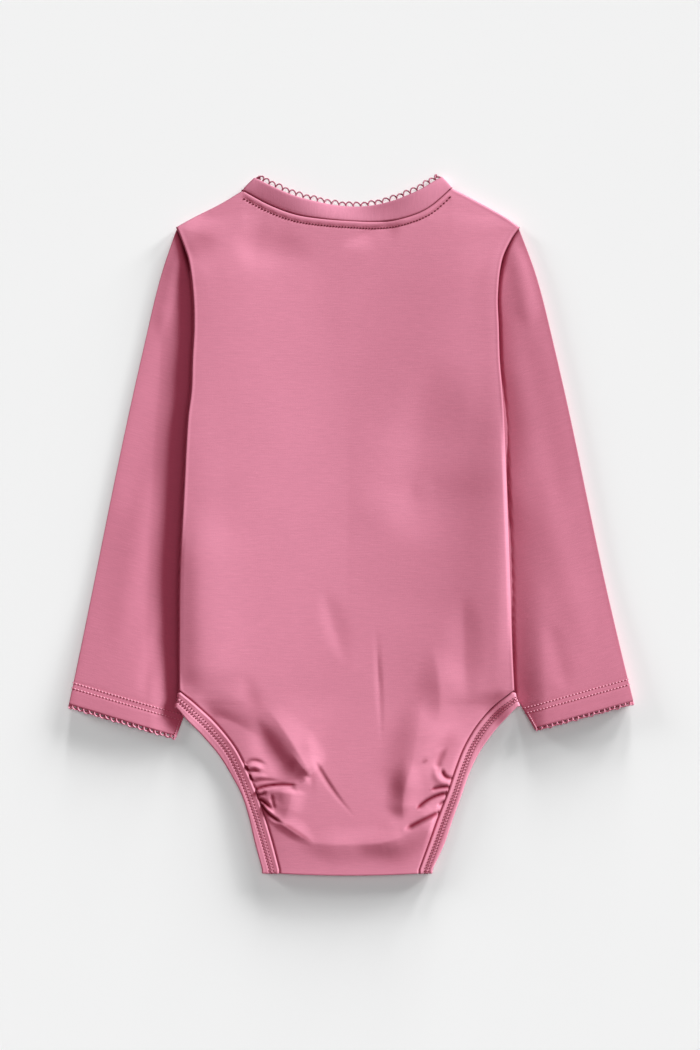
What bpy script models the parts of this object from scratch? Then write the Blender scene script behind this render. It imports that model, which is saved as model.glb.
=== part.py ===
"""Long-sleeved baby bodysuit, laid flat on its front with its back up.

Sizes are in millimetres and become metres where a mesh is written. X is across the garment, Y runs from
the crotch to the neck, and Z is up from the surface that the garment lies on. Every piece of cloth is an
open surface, its outer side, with a Solidify wall on its inner side.
"""

import math
from collections import namedtuple

import bmesh
import bpy

MM = 0.001
COLLECTION = "baby_onesie"

# Middle of the outline in the sizes below. It becomes the origin.
ORIGIN_X = 0.59
ORIGIN_Y = 0.80

# Cloth walls and the clearances between pieces.
WALL = 1.2
PICOT_WALL = 1.0
SEAM_GAP = 0.3
FRONT_INSET = 0.8

# Heights of the layers above the surface.
SLEEVE_TUCKED = 3.8
SLEEVE_SWELL = 1.9
SLEEVE_CLEAR = 4.2
SLEEVE_RAMP = 18.0
FLAP_RAISE = 1.4
TAB_LAYER = WALL + SEAM_GAP
CROTCH_RISE = FLAP_RAISE + TAB_LAYER
HOLLOW_EDGE = 0.8
HOLLOW_RISE = 2.2
HOLLOW_REACH = 13.0
HOLLOW_MOST = 4.4

# Crotch: the back panel turns under the bottom fold and ends as a tab inside the front flap.
BOTTOM_FOLD_Y = -217.0
FOLD_LOW = 0.4
TAB_HALF = 43.0
FLAP_END_Y = -200.0

# Bands, picots and snaps.
BAND_DROP = 0.9
BAND_SET = 0.2
CORNER_RAISE = 0.5
NECK_SHOULDER = 3.4
NECK_RISE = 1.5
NECK_RIM_DROP = 0.6
TURN_BULGE = 1.6
TURN_INSET = 1.3
TAB_BAND = 9.5
NECK_PICOTS = 54
CUFF_PICOTS = 30
PICOT_REACH = 2.9
PICOT_VALLEY = 0.7
SNAP_RADIUS = 4.6
SNAP_HEIGHT = 1.1
SNAP_Y = -187.0
SNAP_X = (-27.0, 0.0, 27.0)

EdgeRow = namedtuple("EdgeRow", "y left right")
LineRow = namedtuple("LineRow", "x y")
StripRow = namedtuple("StripRow", "seam_x seam_y rim_x rim_y")
LegRow = namedtuple("LegRow", "seam_y seam_x rim_x rim_y")
SleeveRow = namedtuple("SleeveRow", "outer_x outer_y inner_x inner_y")
FoldRow = namedtuple("FoldRow", "x0 y0 x1 y1 x2 y2 height width")
ArmRow = namedtuple("ArmRow", "across x y")

# Side edges of the body: armhole, side fold and leg seam, from the shoulder tip to the bottom fold.
BODY_EDGE = [
    EdgeRow(184.5, -108.1, 105.5),
    EdgeRow(177.0, -105.0, 100.2),
    EdgeRow(163.5, -100.3, 94.3),
    EdgeRow(142.0, -97.5, 91.8),
    EdgeRow(122.0, -97.0, 92.4),
    EdgeRow(102.0, -98.0, 93.0),
    EdgeRow(83.4, -98.6, 94.6),
    EdgeRow(64.8, -100.8, 95.8),
    EdgeRow(15.2, -103.4, 97.8),
    EdgeRow(-31.0, -105.7, 99.5),
    EdgeRow(-77.8, -106.2, 100.8),
    EdgeRow(-102.6, -106.2, 102.0),
]

# Leg openings of the back and of the front, top to bottom: seam and free side of the binding.
LEFT_BACK_LEG = [
    LegRow(-102.6, -106.2, -108.7, -113.6),
    LegRow(-112.0, -95.2, -101.7, -120.5),
    LegRow(-124.6, -82.5, -91.0, -132.0),
    LegRow(-138.0, -71.7, -81.2, -143.8),
    LegRow(-152.0, -64.3, -73.6, -156.0),
    LegRow(-165.2, -58.5, -67.0, -168.5),
    LegRow(-179.4, -53.5, -62.8, -181.8),
    LegRow(-196.0, -48.5, -59.0, -197.8),
    LegRow(-214.0, -43.8, -54.6, -214.0),
]
RIGHT_BACK_LEG = [
    LegRow(-102.6, 102.0, 105.4, -112.8),
    LegRow(-112.0, 90.2, 97.0, -120.0),
    LegRow(-124.6, 79.0, 87.4, -131.4),
    LegRow(-138.0, 71.0, 79.6, -143.2),
    LegRow(-152.0, 65.4, 74.0, -155.0),
    LegRow(-165.2, 60.9, 69.4, -167.6),
    LegRow(-179.4, 55.4, 64.2, -181.8),
    LegRow(-196.0, 49.4, 58.6, -198.2),
    LegRow(-214.0, 42.8, 51.2, -214.0),
]
LEFT_FRONT_LEG = [
    LegRow(-102.6, -106.2, -108.7, -113.6),
    LegRow(-112.5, -90.0, -96.0, -120.8),
    LegRow(-125.0, -74.0, -81.8, -131.5),
    LegRow(-139.0, -61.0, -70.0, -144.0),
    LegRow(-153.0, -53.5, -63.0, -156.5),
    LegRow(-167.0, -48.5, -58.3, -169.2),
    LegRow(-182.0, -44.5, -54.4, -183.4),
    LegRow(-199.7, -42.5, -52.6, -199.7),
]
RIGHT_FRONT_LEG = [
    LegRow(-102.6, 102.0, 105.4, -112.8),
    LegRow(-112.5, 86.5, 92.5, -120.8),
    LegRow(-125.0, 70.5, 78.3, -131.5),
    LegRow(-139.0, 58.0, 67.0, -144.0),
    LegRow(-153.0, 51.0, 60.5, -156.5),
    LegRow(-167.0, 46.5, 56.2, -169.2),
    LegRow(-182.0, 43.5, 53.4, -183.4),
    LegRow(-199.7, 42.0, 51.0, -199.7),
]

# Top edge of the back: shoulder, neck seam, shoulder.
LEFT_SHOULDER = [LineRow(-108.1, 184.5), LineRow(-94.9, 192.0), LineRow(-80.0, 199.6), LineRow(-66.8, 207.6)]
BACK_NECK = [
    LineRow(-66.8, 207.6),
    LineRow(-49.7, 198.3),
    LineRow(-34.3, 192.6),
    LineRow(-18.9, 190.0),
    LineRow(-0.4, 188.5),
    LineRow(17.1, 188.0),
    LineRow(32.5, 190.0),
    LineRow(47.9, 196.2),
    LineRow(63.2, 209.1),
]
RIGHT_SHOULDER = [LineRow(63.2, 209.1), LineRow(75.0, 203.1), LineRow(94.9, 192.0), LineRow(105.5, 184.5)]
# How far the sleeves reach in under the body, and the edge of what covers them.
TUCK_EDGE = [
    EdgeRow(210.0, -112.0, 110.0),
    EdgeRow(190.0, -106.0, 104.0),
    EdgeRow(171.0, -97.0, 92.0),
    EdgeRow(150.0, -90.0, 85.0),
    EdgeRow(120.0, -85.0, 80.0),
    EdgeRow(78.0, -79.5, 75.5),
    EdgeRow(48.0, -75.5, 72.0),
    EdgeRow(18.0, -73.5, 70.0),
    EdgeRow(-14.0, -73.5, 70.0),
    EdgeRow(-46.0, -77.0, 73.0),
    EdgeRow(-76.0, -84.0, 81.0),
    EdgeRow(-103.0, -94.5, 96.0),
    EdgeRow(-120.0, -101.5, 103.5),
    EdgeRow(-140.0, -121.0, 121.0),
]
COVER_EDGE = BODY_EDGE + [
    EdgeRow(-114.3, -108.8, 105.8),
    EdgeRow(-119.0, -104.0, 100.0),
    EdgeRow(-126.0, -95.0, 92.0),
    EdgeRow(-134.0, -86.0, 84.0),
]

# Strips along an opening: the seam side and the free side of the band.
BACK_NECK_BAND = [
    StripRow(-66.8, 207.6, -58.5, 215.2),
    StripRow(-50.5, 198.7, -46.7, 209.1),
    StripRow(-37.0, 193.5, -34.3, 203.9),
    StripRow(-20.0, 190.1, -18.9, 200.3),
    StripRow(-3.0, 188.6, -3.5, 198.3),
    StripRow(14.0, 188.0, 12.0, 198.3),
    StripRow(30.0, 189.5, 27.3, 201.3),
    StripRow(47.5, 196.0, 42.8, 207.5),
    StripRow(63.2, 209.1, 56.2, 215.8),
]
FRONT_NECK = [
    StripRow(-66.8, 207.6, -58.5, 215.2),
    StripRow(-62.0, 190.0, -51.5, 193.5),
    StripRow(-50.0, 169.5, -42.2, 177.3),
    StripRow(-29.0, 156.0, -25.0, 166.3),
    StripRow(-1.0, 151.0, -1.0, 162.0),
    StripRow(27.0, 156.0, 23.0, 166.3),
    StripRow(47.0, 169.5, 39.2, 177.3),
    StripRow(58.5, 190.0, 48.0, 193.5),
    StripRow(63.2, 209.1, 56.2, 215.8),
]
# Sleeves, from the armhole to the cuff: outer edge and inner edge of the flattened tube.
LEFT_SLEEVE = [
    SleeveRow(-108.4, 185.2, -82.0, 74.0),
    SleeveRow(-119.0, 151.6, -77.5, 46.0),
    SleeveRow(-129.0, 108.2, -76.5, 18.0),
    SleeveRow(-139.2, 61.7, -76.5, -14.0),
    SleeveRow(-148.8, 15.2, -80.0, -46.0),
    SleeveRow(-158.1, -31.3, -87.0, -76.0),
    SleeveRow(-167.4, -77.8, -97.4, -103.0),
    SleeveRow(-174.5, -111.8, -107.9, -131.8),
]
RIGHT_SLEEVE = [
    SleeveRow(106.0, 184.4, 78.0, 74.0),
    SleeveRow(117.2, 151.6, 74.0, 46.0),
    SleeveRow(127.7, 108.2, 73.0, 18.0),
    SleeveRow(138.0, 61.7, 73.0, -14.0),
    SleeveRow(147.6, 15.2, 76.5, -46.0),
    SleeveRow(157.4, -31.3, 84.5, -75.0),
    SleeveRow(168.0, -77.8, 99.4, -100.5),
    SleeveRow(175.7, -109.5, 114.3, -126.4),
]

# Seam of each sleeve to its armhole, from the shoulder tip to the underarm, just under the body's edge.
LEFT_ARMHOLE = [
    ArmRow(0.0, -108.4, 185.2),
    ArmRow(0.25, -98.6, 158.0),
    ArmRow(0.5, -92.3, 130.0),
    ArmRow(0.75, -90.0, 104.0),
    ArmRow(0.9, -87.6, 86.0),
    ArmRow(1.0, -82.0, 74.0),
]
RIGHT_ARMHOLE = [
    ArmRow(0.0, 106.0, 184.4),
    ArmRow(0.25, 93.5, 158.0),
    ArmRow(0.5, 87.0, 130.0),
    ArmRow(0.75, 85.5, 104.0),
    ArmRow(0.9, 83.5, 86.0),
    ArmRow(1.0, 78.0, 74.0),
]

# Folds of the back, each a bent line with a height (ridge above 0, trough below) and a half width.
FOLDS = [
    FoldRow(-68, -88, -46, -118, -23, -156, -3.4, 9.5),
    FoldRow(-44, -94, -31, -124, -17, -156, 1.5, 6.0),
    FoldRow(-22, -146, -5, -177, 13, -187, -1.1, 3.2),
    FoldRow(28, -116, 26, -158, 34, -184, -1.6, 8.5),
    FoldRow(78, -34, 82, -75, 74, -116, -1.5, 8.0),
    FoldRow(54, -98, 52, -108, 49, -120, -1.1, 6.0),
    FoldRow(56, 84, 62, 40, 48, -6, -1.1, 15.0),
    FoldRow(-94, 34, -91, -30, -92, -94, -1.1, 9.0),
    FoldRow(33, 183, 17, 176, -2, 173, 1.3, 4.5),
    FoldRow(27, 174, 13, 166, -4, 164, -1.1, 5.5),
    FoldRow(-64, 185, -47, 174, -29, 167, -1.3, 9.0),
    FoldRow(-100, 189, -88, 183, -72, 181, -1.1, 5.0),
    FoldRow(-54, -181, 0, -222, 57, -174, 1.6, 7.0),
]

# Gathers at the leg seams.
GATHERS = [
    FoldRow(-66, -146, -57, -143, -49, -150, 1.1, 2.8),
    FoldRow(-63, -153, -57, -150, -50, -157, -0.9, 2.2),
    FoldRow(-59, -159, -42, -158, -26, -160, -2.0, 2.6),
    FoldRow(-57, -165, -42, -162, -27, -165, 1.1, 2.4),
    FoldRow(-56, -168, -52, -166, -48, -168, -1.2, 2.2),
    FoldRow(-54, -172, -49, -174, -45, -179, -1.2, 2.4),
    FoldRow(-53, -175, -42, -188, -21, -199, -1.3, 2.6),
    FoldRow(55, -149, 57, -157, 64, -156, -1.3, 2.6),
    FoldRow(52, -154, 56, -159, 62, -160, 1.0, 2.4),
    FoldRow(50, -162, 56, -163, 62, -163, -1.4, 2.4),
    FoldRow(45, -167, 54, -166, 61, -166, 1.0, 2.4),
    FoldRow(40, -177, 49, -168, 60, -168, -1.5, 2.6),
    FoldRow(47, -178, 53, -174, 57, -171, -1.0, 2.2),
    FoldRow(28, -189, 46, -180, 56, -176, -1.4, 2.6),
]
FOLD_STEPS = 10
FOLD_FADE = 3.5

# Grid lines of the back: across as parts of the half width, down as heights at the side edge.
NECK_PART = 0.607
BACK_ACROSS = (0.0, 0.09, 0.18, 0.27, 0.36, 0.45, 0.53, 0.607, 0.69, 0.77, 0.84, 0.9, 0.95, 0.985, 1.0)
UPPER_ROWS = (184.5, 179.0, 172.0, 164.0, 155.0, 145.0)
MIDDLE_ROWS = (128.0, 110.0, 92.0, 72.0, 50.0, 28.0, 6.0, -15.0, -35.0, -55.0, -73.0, -88.0, -97.0, -102.6)
YOKE_Y = 145.0
LEG_TOP_Y = -102.6
SHOULDER_TIP_Y = 184.5
LEG_ROW_STEPS = (
    (-102.6, -142.0, 7),
    (-142.0, -178.0, 13),
    (-178.0, -214.0, 5),
)
FOLD_ARC_STEPS = 4
TAB_ROWS = (-208.0, -203.0, -189.0, -174.0)
FRONT_ACROSS = (0.0, 0.1, 0.2, 0.3, 0.4, 0.5, 0.607, 0.68, 0.75, 0.82, 0.88, 0.94, 1.0)
FRONT_UPPER_STEPS = 6
FRONT_YOKE_Y = 118.0
FRONT_ROWS = (
    118.0, 90.0, 60.0, 25.0, -10.0, -45.0, -75.0, -92.0, -102.6, -110.0, -118.0, -127.0, -137.0, -148.0,
    -158.0, -167.0, -178.0, -189.0, -199.7,
)

CLOTH_COLOUR = (0.70, 0.27, 0.36, 1.0)
TRIM_COLOUR = (0.66, 0.24, 0.33, 1.0)
SNAP_COLOUR = (0.72, 0.42, 0.48, 1.0)


def ease(start, end, value):
    """Smooth step from 0 at start to 1 at end."""
    part = min(1.0, max(0.0, (value - start) / (end - start)))
    return part * part * (3.0 - 2.0 * part)


def read(rows, key, column, at):
    """Smooth curve through one column of a table, read where another column has the value at."""
    rows = sorted(rows, key=lambda row: getattr(row, key))
    keys = [getattr(row, key) for row in rows]
    values = [getattr(row, column) for row in rows]
    at = min(keys[-1], max(keys[0], at))
    last = len(keys) - 2
    index = 0
    while index < last and at > keys[index + 1]:
        index += 1
    span = keys[index + 1] - keys[index]
    part = (at - keys[index]) / span
    slope_in = slope_at(keys, values, index) * span
    slope_out = slope_at(keys, values, index + 1) * span
    return hermite(values[index], values[index + 1], slope_in, slope_out, part)


def slope_at(keys, values, index):
    """Slope of the curve at one row: the mean of its neighbours, or one-sided at an end."""
    low = max(0, index - 1)
    high = min(len(keys) - 1, index + 1)
    return (values[high] - values[low]) / (keys[high] - keys[low])


def hermite(start, end, slope_in, slope_out, part):
    """Cubic between two values with the given slopes over the span."""
    square = part * part
    cube = square * part
    return (
        (2 * cube - 3 * square + 1) * start
        + (cube - 2 * square + part) * slope_in
        + (3 * square - 2 * cube) * end
        + (cube - square) * slope_out
    )


def read_evenly(rows, part):
    """All columns of a table at a part of its length, rows counted as evenly spaced."""
    Keyed = namedtuple("Keyed", ("row",) + rows[0]._fields)
    keyed = [Keyed(index, *row) for index, row in enumerate(rows)]
    at = part * (len(rows) - 1)
    return rows[0].__class__(*(read(keyed, "row", field, at) for field in rows[0]._fields))


def lift(x, y):
    """Height to which the body rises over the tucked sleeves."""
    left = read(TUCK_EDGE, "y", "left", y)
    right = read(TUCK_EDGE, "y", "right", y)
    rise_left = ease(left + SLEEVE_RAMP, left, x)
    rise_right = ease(right - SLEEVE_RAMP, right, x)
    return SLEEVE_CLEAR * max(rise_left, rise_right)


def underside(x, y):
    """Height of the front panel's lower side: flat in the middle, raised over sleeves and snaps."""
    return lift(x, y) + FLAP_RAISE * ease(-150.0, -168.0, y)


def bent_line(row):
    """Points of a fold's bent line."""
    points = []
    for step in range(FOLD_STEPS + 1):
        part = step / FOLD_STEPS
        rest = 1.0 - part
        x = rest * rest * row.x0 + 2 * rest * part * row.x1 + part * part * row.x2
        y = rest * rest * row.y0 + 2 * rest * part * row.y1 + part * part * row.y2
        points.append((x, y))
    return points


FOLD_LINES = [(row, bent_line(row)) for row in FOLDS + GATHERS]


def fold_relief(x, y):
    """Sum of all folds at a place."""
    total = 0.0
    for row, points in FOLD_LINES:
        reach = 3.0 * row.width
        nearest = reach
        along = 0.0
        for step in range(FOLD_STEPS):
            x0, y0 = points[step]
            x1, y1 = points[step + 1]
            dx = x1 - x0
            dy = y1 - y0
            part = ((x - x0) * dx + (y - y0) * dy) / (dx * dx + dy * dy)
            part = min(1.0, max(0.0, part))
            gap = math.hypot(x - x0 - part * dx, y - y0 - part * dy)
            if gap < nearest:
                nearest = gap
                along = (step + part) / FOLD_STEPS
        if nearest < reach:
            taper = 0.35 + 0.65 * math.sin(math.pi * along)
            total += row.height * taper * math.exp(-((nearest / row.width) ** 2))
    return total


def back_height(x, y, edge):
    """Height of the back panel's outer side, at a distance from its nearest sewn or folded edge."""
    swell = HOLLOW_RISE * (1.0 - math.exp(-edge / HOLLOW_REACH))
    swell *= 1.0 - 0.55 * ease(-196.0, -216.0, y)
    relief = fold_relief(x, y) * ease(0.0, FOLD_FADE, edge)
    hollow = min(HOLLOW_MOST, max(HOLLOW_EDGE, HOLLOW_EDGE + swell + relief))
    crotch = CROTCH_RISE * ease(-126.0, -172.0, y)
    return lift(x, y) + WALL + crotch + hollow + WALL


def top_line(x):
    """Top edge of the back panel over a place across it."""
    if x < BACK_NECK[0].x:
        return read(LEFT_SHOULDER, "x", "y", x)
    if x > BACK_NECK[-1].x:
        return read(RIGHT_SHOULDER, "x", "y", x)
    return read(BACK_NECK, "x", "y", x)


def both_ways(parts):
    """Mirrored list of parts of the half width, from -1 to 1."""
    return [-part for part in reversed(parts[1:])] + list(parts)


def shoulder_edge(x, y, line):
    """Distance from the shoulder line, large under the neck where no edge folds down."""
    if BACK_NECK[0].x < x < BACK_NECK[-1].x:
        return HOLLOW_REACH * 3.0
    return max(0.0, line - y) * 0.87


def leg_rows():
    """Heights of the back panel's grid lines below the side seam's lower end."""
    heights = []
    for start, end, steps in LEG_ROW_STEPS:
        heights += [start + (end - start) * step / steps for step in range(1, steps + 1)]
    return heights


def back_rows():
    """Outer points of the back panel, row by row from the shoulders down and round into the tab."""
    across = both_ways(BACK_ACROSS)
    grid = []
    for side_y in UPPER_ROWS + MIDDLE_ROWS:
        left = read(BODY_EDGE, "y", "left", side_y)
        right = read(BODY_EDGE, "y", "right", side_y)
        part = max(0.0, (side_y - YOKE_Y) / (SHOULDER_TIP_Y - YOKE_Y))
        grid.append([back_point(left, right, u, side_y, part) for u in across])
    for side_y in leg_rows():
        left = read(LEFT_BACK_LEG, "seam_y", "seam_x", side_y)
        right = read(RIGHT_BACK_LEG, "seam_y", "seam_x", side_y)
        grid.append([back_point(left, right, u, side_y, 0.0) for u in across])
    top = grid[-1]
    for step in range(1, FOLD_ARC_STEPS + 1):
        grid.append([fold_point(point, step / FOLD_ARC_STEPS) for point in top])
    for y in TAB_ROWS:
        grid.append([(u * TAB_HALF, y, tab_height(y)) for u in across])
    return grid


def back_point(left, right, u, side_y, part):
    """One outer point of the back panel above the bottom fold."""
    x = 0.5 * (left + right) + 0.5 * u * (right - left)
    y = side_y
    edge = 0.5 * (1.0 - abs(u)) * (right - left)
    if part > 0.0:
        line = top_line(x)
        y = YOKE_Y + part * (line - YOKE_Y)
        edge = min(edge, shoulder_edge(x, y, line))
    return (x, y, back_height(x, y, edge))


def fold_point(start, part):
    """Point on the turn of the bottom fold under a point at its upper end."""
    x, y, z = start
    angle = math.pi * part
    middle = 0.5 * (z + FOLD_LOW)
    half = 0.5 * (z - FOLD_LOW)
    depth = y - BOTTOM_FOLD_Y
    return (x, y - depth * math.sin(angle), middle + half * math.cos(angle))


def tab_height(y):
    """Lower side of the tab: on the surface by the fold, then over the front flap's end."""
    over = FLAP_RAISE + WALL + SEAM_GAP
    return FOLD_LOW + (over - FOLD_LOW) * ease(-212.0, FLAP_END_Y - 3.0, y)


def front_top(u):
    """Point of the front panel's top edge: shoulder, deep neck seam or shoulder."""
    if abs(u) <= NECK_PART:
        row = read_evenly(FRONT_NECK, 0.5 + 0.5 * u / NECK_PART)
        width = math.hypot(row.rim_x - row.seam_x, row.rim_y - row.seam_y)
        inset = FRONT_INSET / width
        return (row.seam_x - inset * (row.rim_x - row.seam_x), row.seam_y - inset * (row.rim_y - row.seam_y))
    part = (abs(u) - NECK_PART) / (1.0 - NECK_PART)
    line = LEFT_SHOULDER if u < 0.0 else RIGHT_SHOULDER
    neck = max(line, key=lambda row: -abs(row.x))
    tip = max(line, key=lambda row: abs(row.x))
    x = neck.x + part * (tip.x - neck.x)
    return (x, read(line, "x", "y", x) - FRONT_INSET)


def front_upper_rows(across):
    """Points of the front panel above its yoke line, between that line, the top and the armholes."""
    grid = []
    for step in range(FRONT_UPPER_STEPS):
        part = 1.0 - step / FRONT_UPPER_STEPS
        side_y = FRONT_YOKE_Y + part * (SHOULDER_TIP_Y - FRONT_YOKE_Y)
        row = []
        for u in across:
            column = "left" if u < 0.0 else "right"
            low = front_side_point(u, FRONT_YOKE_Y)
            top = front_top(u)
            tip = front_top(math.copysign(1.0, u))
            foot = read(BODY_EDGE, "y", column, FRONT_YOKE_Y)
            side_x = read(BODY_EDGE, "y", column, side_y)
            bend = (side_x - foot - part * (tip[0] - foot)) * abs(u) ** 3
            x = low + part * (top[0] - low) + bend
            y = FRONT_YOKE_Y + part * (top[1] - FRONT_YOKE_Y)
            row.append((x, y, underside(x, y)))
        grid.append(row)
    return grid


def front_side_point(u, side_y):
    """Place across the front panel at a height, as a part of its half width."""
    if side_y > LEG_TOP_Y:
        left = read(BODY_EDGE, "y", "left", side_y)
        right = read(BODY_EDGE, "y", "right", side_y)
    else:
        left = read(LEFT_FRONT_LEG, "seam_y", "seam_x", side_y)
        right = read(RIGHT_FRONT_LEG, "seam_y", "seam_x", side_y)
    left += FRONT_INSET
    right -= FRONT_INSET
    return 0.5 * (left + right) + 0.5 * u * (right - left)


def front_rows():
    """Outer (lower) points of the front panel, from the shoulders down to the flap's end."""
    across = both_ways(FRONT_ACROSS)
    grid = front_upper_rows(across)
    for side_y in FRONT_ROWS:
        row = []
        for u in across:
            x = front_side_point(u, side_y)
            row.append((x, side_y, underside(x, side_y)))
        grid.append(row)
    return grid


def strip_stations(rows, steps):
    """Evenly read rows of a strip."""
    return [read_evenly(rows, step / steps) for step in range(steps + 1)]


def strip_points(row, seam_height, rim_height, across=(0.0, 0.5, 1.0), gap=SEAM_GAP):
    """Points across a strip, from just off its seam to its free side."""
    width = math.hypot(row.rim_x - row.seam_x, row.rim_y - row.seam_y)
    points = []
    for part in across:
        step = gap / width + part * (1.0 - gap / width)
        x = row.seam_x + step * (row.rim_x - row.seam_x)
        y = row.seam_y + step * (row.rim_y - row.seam_y)
        points.append((x, y, seam_height + part * (rim_height - seam_height)))
    return points


def turn_rows(upper, lower, bulge, steps):
    """Rows of a band where it turns over a fold, between its upper and its lower row."""
    rows = []
    for step in range(1, steps):
        angle = math.pi * step / steps
        row = []
        for high, low in zip(upper, lower):
            part = 0.5 - 0.5 * math.cos(angle)
            x = high[0] + part * (low[0] - high[0]) + bulge[0] * math.sin(angle)
            y = high[1] + part * (low[1] - high[1]) + bulge[1] * math.sin(angle)
            z = high[2] + part * (low[2] - high[2])
            row.append((x, y, z))
        rows.append(row)
    return rows


def back_neck_x(u):
    """Place across of a grid line of the back panel at its neck seam."""
    return 0.5 * (BODY_EDGE[0].left + BODY_EDGE[0].right) + 0.5 * u * (BODY_EDGE[0].right - BODY_EDGE[0].left)


def neck_ring(across=(0.0, 0.5, 1.0)):
    """Rows of the neckband all round: back from left to right, a turn, front, and a turn."""
    back = []
    for u in both_ways([u for u in BACK_ACROSS if u <= NECK_PART]):
        x = back_neck_x(u)
        rim_x = read(BACK_NECK_BAND, "seam_x", "rim_x", x)
        rim_y = read(BACK_NECK_BAND, "seam_x", "rim_y", x)
        row = StripRow(x, read(BACK_NECK, "x", "y", x), rim_x, rim_y)
        edge = min(abs(x - BACK_NECK[0].x), abs(x - BACK_NECK[-1].x))
        away = 1.0 - math.exp(-edge / HOLLOW_REACH)
        height = NECK_SHOULDER + NECK_RISE * away
        back.append(strip_points(row, height, height - NECK_RIM_DROP * away, across))
    front = []
    for row in reversed(strip_stations(FRONT_NECK, 24)):
        front.append(strip_points(row, 0.0, 0.0, across))
    right_turn = turn_rows(back[-1], front[0], (TURN_BULGE * 0.7, TURN_BULGE * 0.7), 4)
    left_turn = turn_rows(back[0], front[-1], (-TURN_BULGE * 0.7, TURN_BULGE * 0.7), 4)
    return back + right_turn + front + list(reversed(left_turn))


def leg_station(table, seam_y, side):
    """Seam and free side of a leg binding at a height, drawn in where it turns round the side."""
    rim_x = read(table, "seam_y", "rim_x", seam_y)
    rim_y = read(table, "seam_y", "rim_y", seam_y)
    turn = TURN_INSET * ease(-113.0, LEG_TOP_Y, seam_y)
    seam_x = read(table, "seam_y", "seam_x", seam_y)
    return StripRow(seam_x - side * turn, seam_y - turn, rim_x - side * turn, rim_y)


def leg_strip(back_table, front_table, side):
    """Rows of one leg band: front leg edge, side turn, back leg edge, bottom fold, tab end."""
    back = []
    for seam_y in [LEG_TOP_Y] + leg_rows():
        row = leg_station(back_table, seam_y, side)
        drop = BAND_DROP * ease(-172.0, -150.0, seam_y) * ease(-118.0, -136.0, seam_y)
        shift = CORNER_RAISE * ease(-142.0, -112.0, seam_y) - BAND_SET
        seam_height = back_height(row.seam_x, row.seam_y, 0.0) + shift
        rim_height = back_height(row.rim_x, row.rim_y, 0.0) + shift - drop
        back.append(strip_points(row, seam_height, rim_height))
    fold = []
    for step in range(1, FOLD_ARC_STEPS + 1):
        fold.append([fold_point(point, step / FOLD_ARC_STEPS) for point in back[-1]])
    tab = []
    for y in TAB_ROWS:
        row = StripRow(side * TAB_HALF, y, side * (TAB_HALF + TAB_BAND), y)
        tab.append(strip_points(row, tab_height(y), tab_height(y)))
    front = []
    for seam_y in [LEG_TOP_Y] + [y for y in FRONT_ROWS if y < LEG_TOP_Y]:
        row = leg_station(front_table, seam_y, side)
        seam_height = underside(row.seam_x, row.seam_y)
        rim_height = underside(row.rim_x, row.rim_y)
        front.append(strip_points(row, seam_height, rim_height))
    turn = turn_rows(front[0], back[0], (side * TURN_BULGE, 0.0), 4)
    return list(reversed(front)) + turn + back + fold + tab


def sleeve_point(rows, armhole, side, along, around):
    """Outer point of a flattened sleeve, at a part of its length and an angle round it."""
    row = read_evenly(rows, along)
    across = 0.5 - 0.5 * math.cos(around)
    bend = (1.0 - along) ** 4
    straight_x = rows[0].outer_x + across * (rows[0].inner_x - rows[0].outer_x)
    straight_y = rows[0].outer_y + across * (rows[0].inner_y - rows[0].outer_y)
    x = row.outer_x + across * (row.inner_x - row.outer_x)
    y = row.outer_y + across * (row.inner_y - row.outer_y)
    x += bend * (read(armhole, "across", "x", across) - straight_x)
    y += bend * (read(armhole, "across", "y", across) - straight_y)
    cover = read(COVER_EDGE, "y", "right" if side > 0 else "left", y)
    outside = side * (x - cover)
    thick = SLEEVE_TUCKED + SLEEVE_SWELL * ease(2.0, 16.0, outside)
    roundness = abs(math.sin(around)) ** 0.45
    if math.sin(around) >= 0.0:
        return (x, y, 0.5 * thick * (1.0 + roundness))
    return (x, y, max(0.0, 0.5 * thick * (1.0 - 1.3 * roundness)))


def sleeve_rings(rows, armhole, side, lengths=16, turns=18):
    """Rings of points along a sleeve."""
    rings = []
    for length in range(lengths + 1):
        ring = [
            sleeve_point(rows, armhole, side, length / lengths, 2.0 * math.pi * turn / turns)
            for turn in range(turns)
        ]
        rings.append(ring)
    return rings


def cuff_picot_rings(rows, armhole, side):
    """Two rings of points of a cuff's picot edging: its root and its looped edge."""
    end = rows[-1]
    length = math.hypot(end.inner_x - end.outer_x, end.inner_y - end.outer_y)
    out_x = side * (end.inner_y - end.outer_y) / length * -1.0
    out_y = -side * (end.outer_x - end.inner_x) / length
    root = []
    tip = []
    for station in range(CUFF_PICOTS * 3):
        part = station / (CUFF_PICOTS * 3)
        across = 2.0 * part if part <= 0.5 else 2.0 - 2.0 * part
        angle = math.acos(1.0 - 2.0 * across)
        if part > 0.5:
            angle = 2.0 * math.pi - angle
        x, y, z = sleeve_point(rows, armhole, side, 1.0, angle)
        reach = PICOT_VALLEY if station % 3 == 0 else PICOT_REACH
        root.append((x + SEAM_GAP * out_x, y + SEAM_GAP * out_y, z))
        tip.append((x + (SEAM_GAP + reach) * out_x, y + (SEAM_GAP + reach) * out_y, z))
    return [root, tip]


def neck_picot_rings():
    """Two rings of points of the neck's picot edging, read off the neckband's free side."""
    stations = NECK_PICOTS * 3
    ring = neck_ring((0.0, 1.0))
    seam = spread_evenly([row[0] for row in ring], [row[1] for row in ring], stations)
    root = []
    tip = []
    for station, (low, high) in enumerate(seam):
        width = math.dist(low, high)
        reach = PICOT_VALLEY if station % 3 == 0 else PICOT_REACH
        root.append(step_past(low, high, SEAM_GAP / width))
        tip.append(step_past(low, high, (SEAM_GAP + reach) / width))
    return [root, tip]


def step_past(start, end, part):
    """Point past end on the line from start, by a part of the line's length."""
    return tuple(b + part * (b - a) for a, b in zip(start, end))


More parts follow.
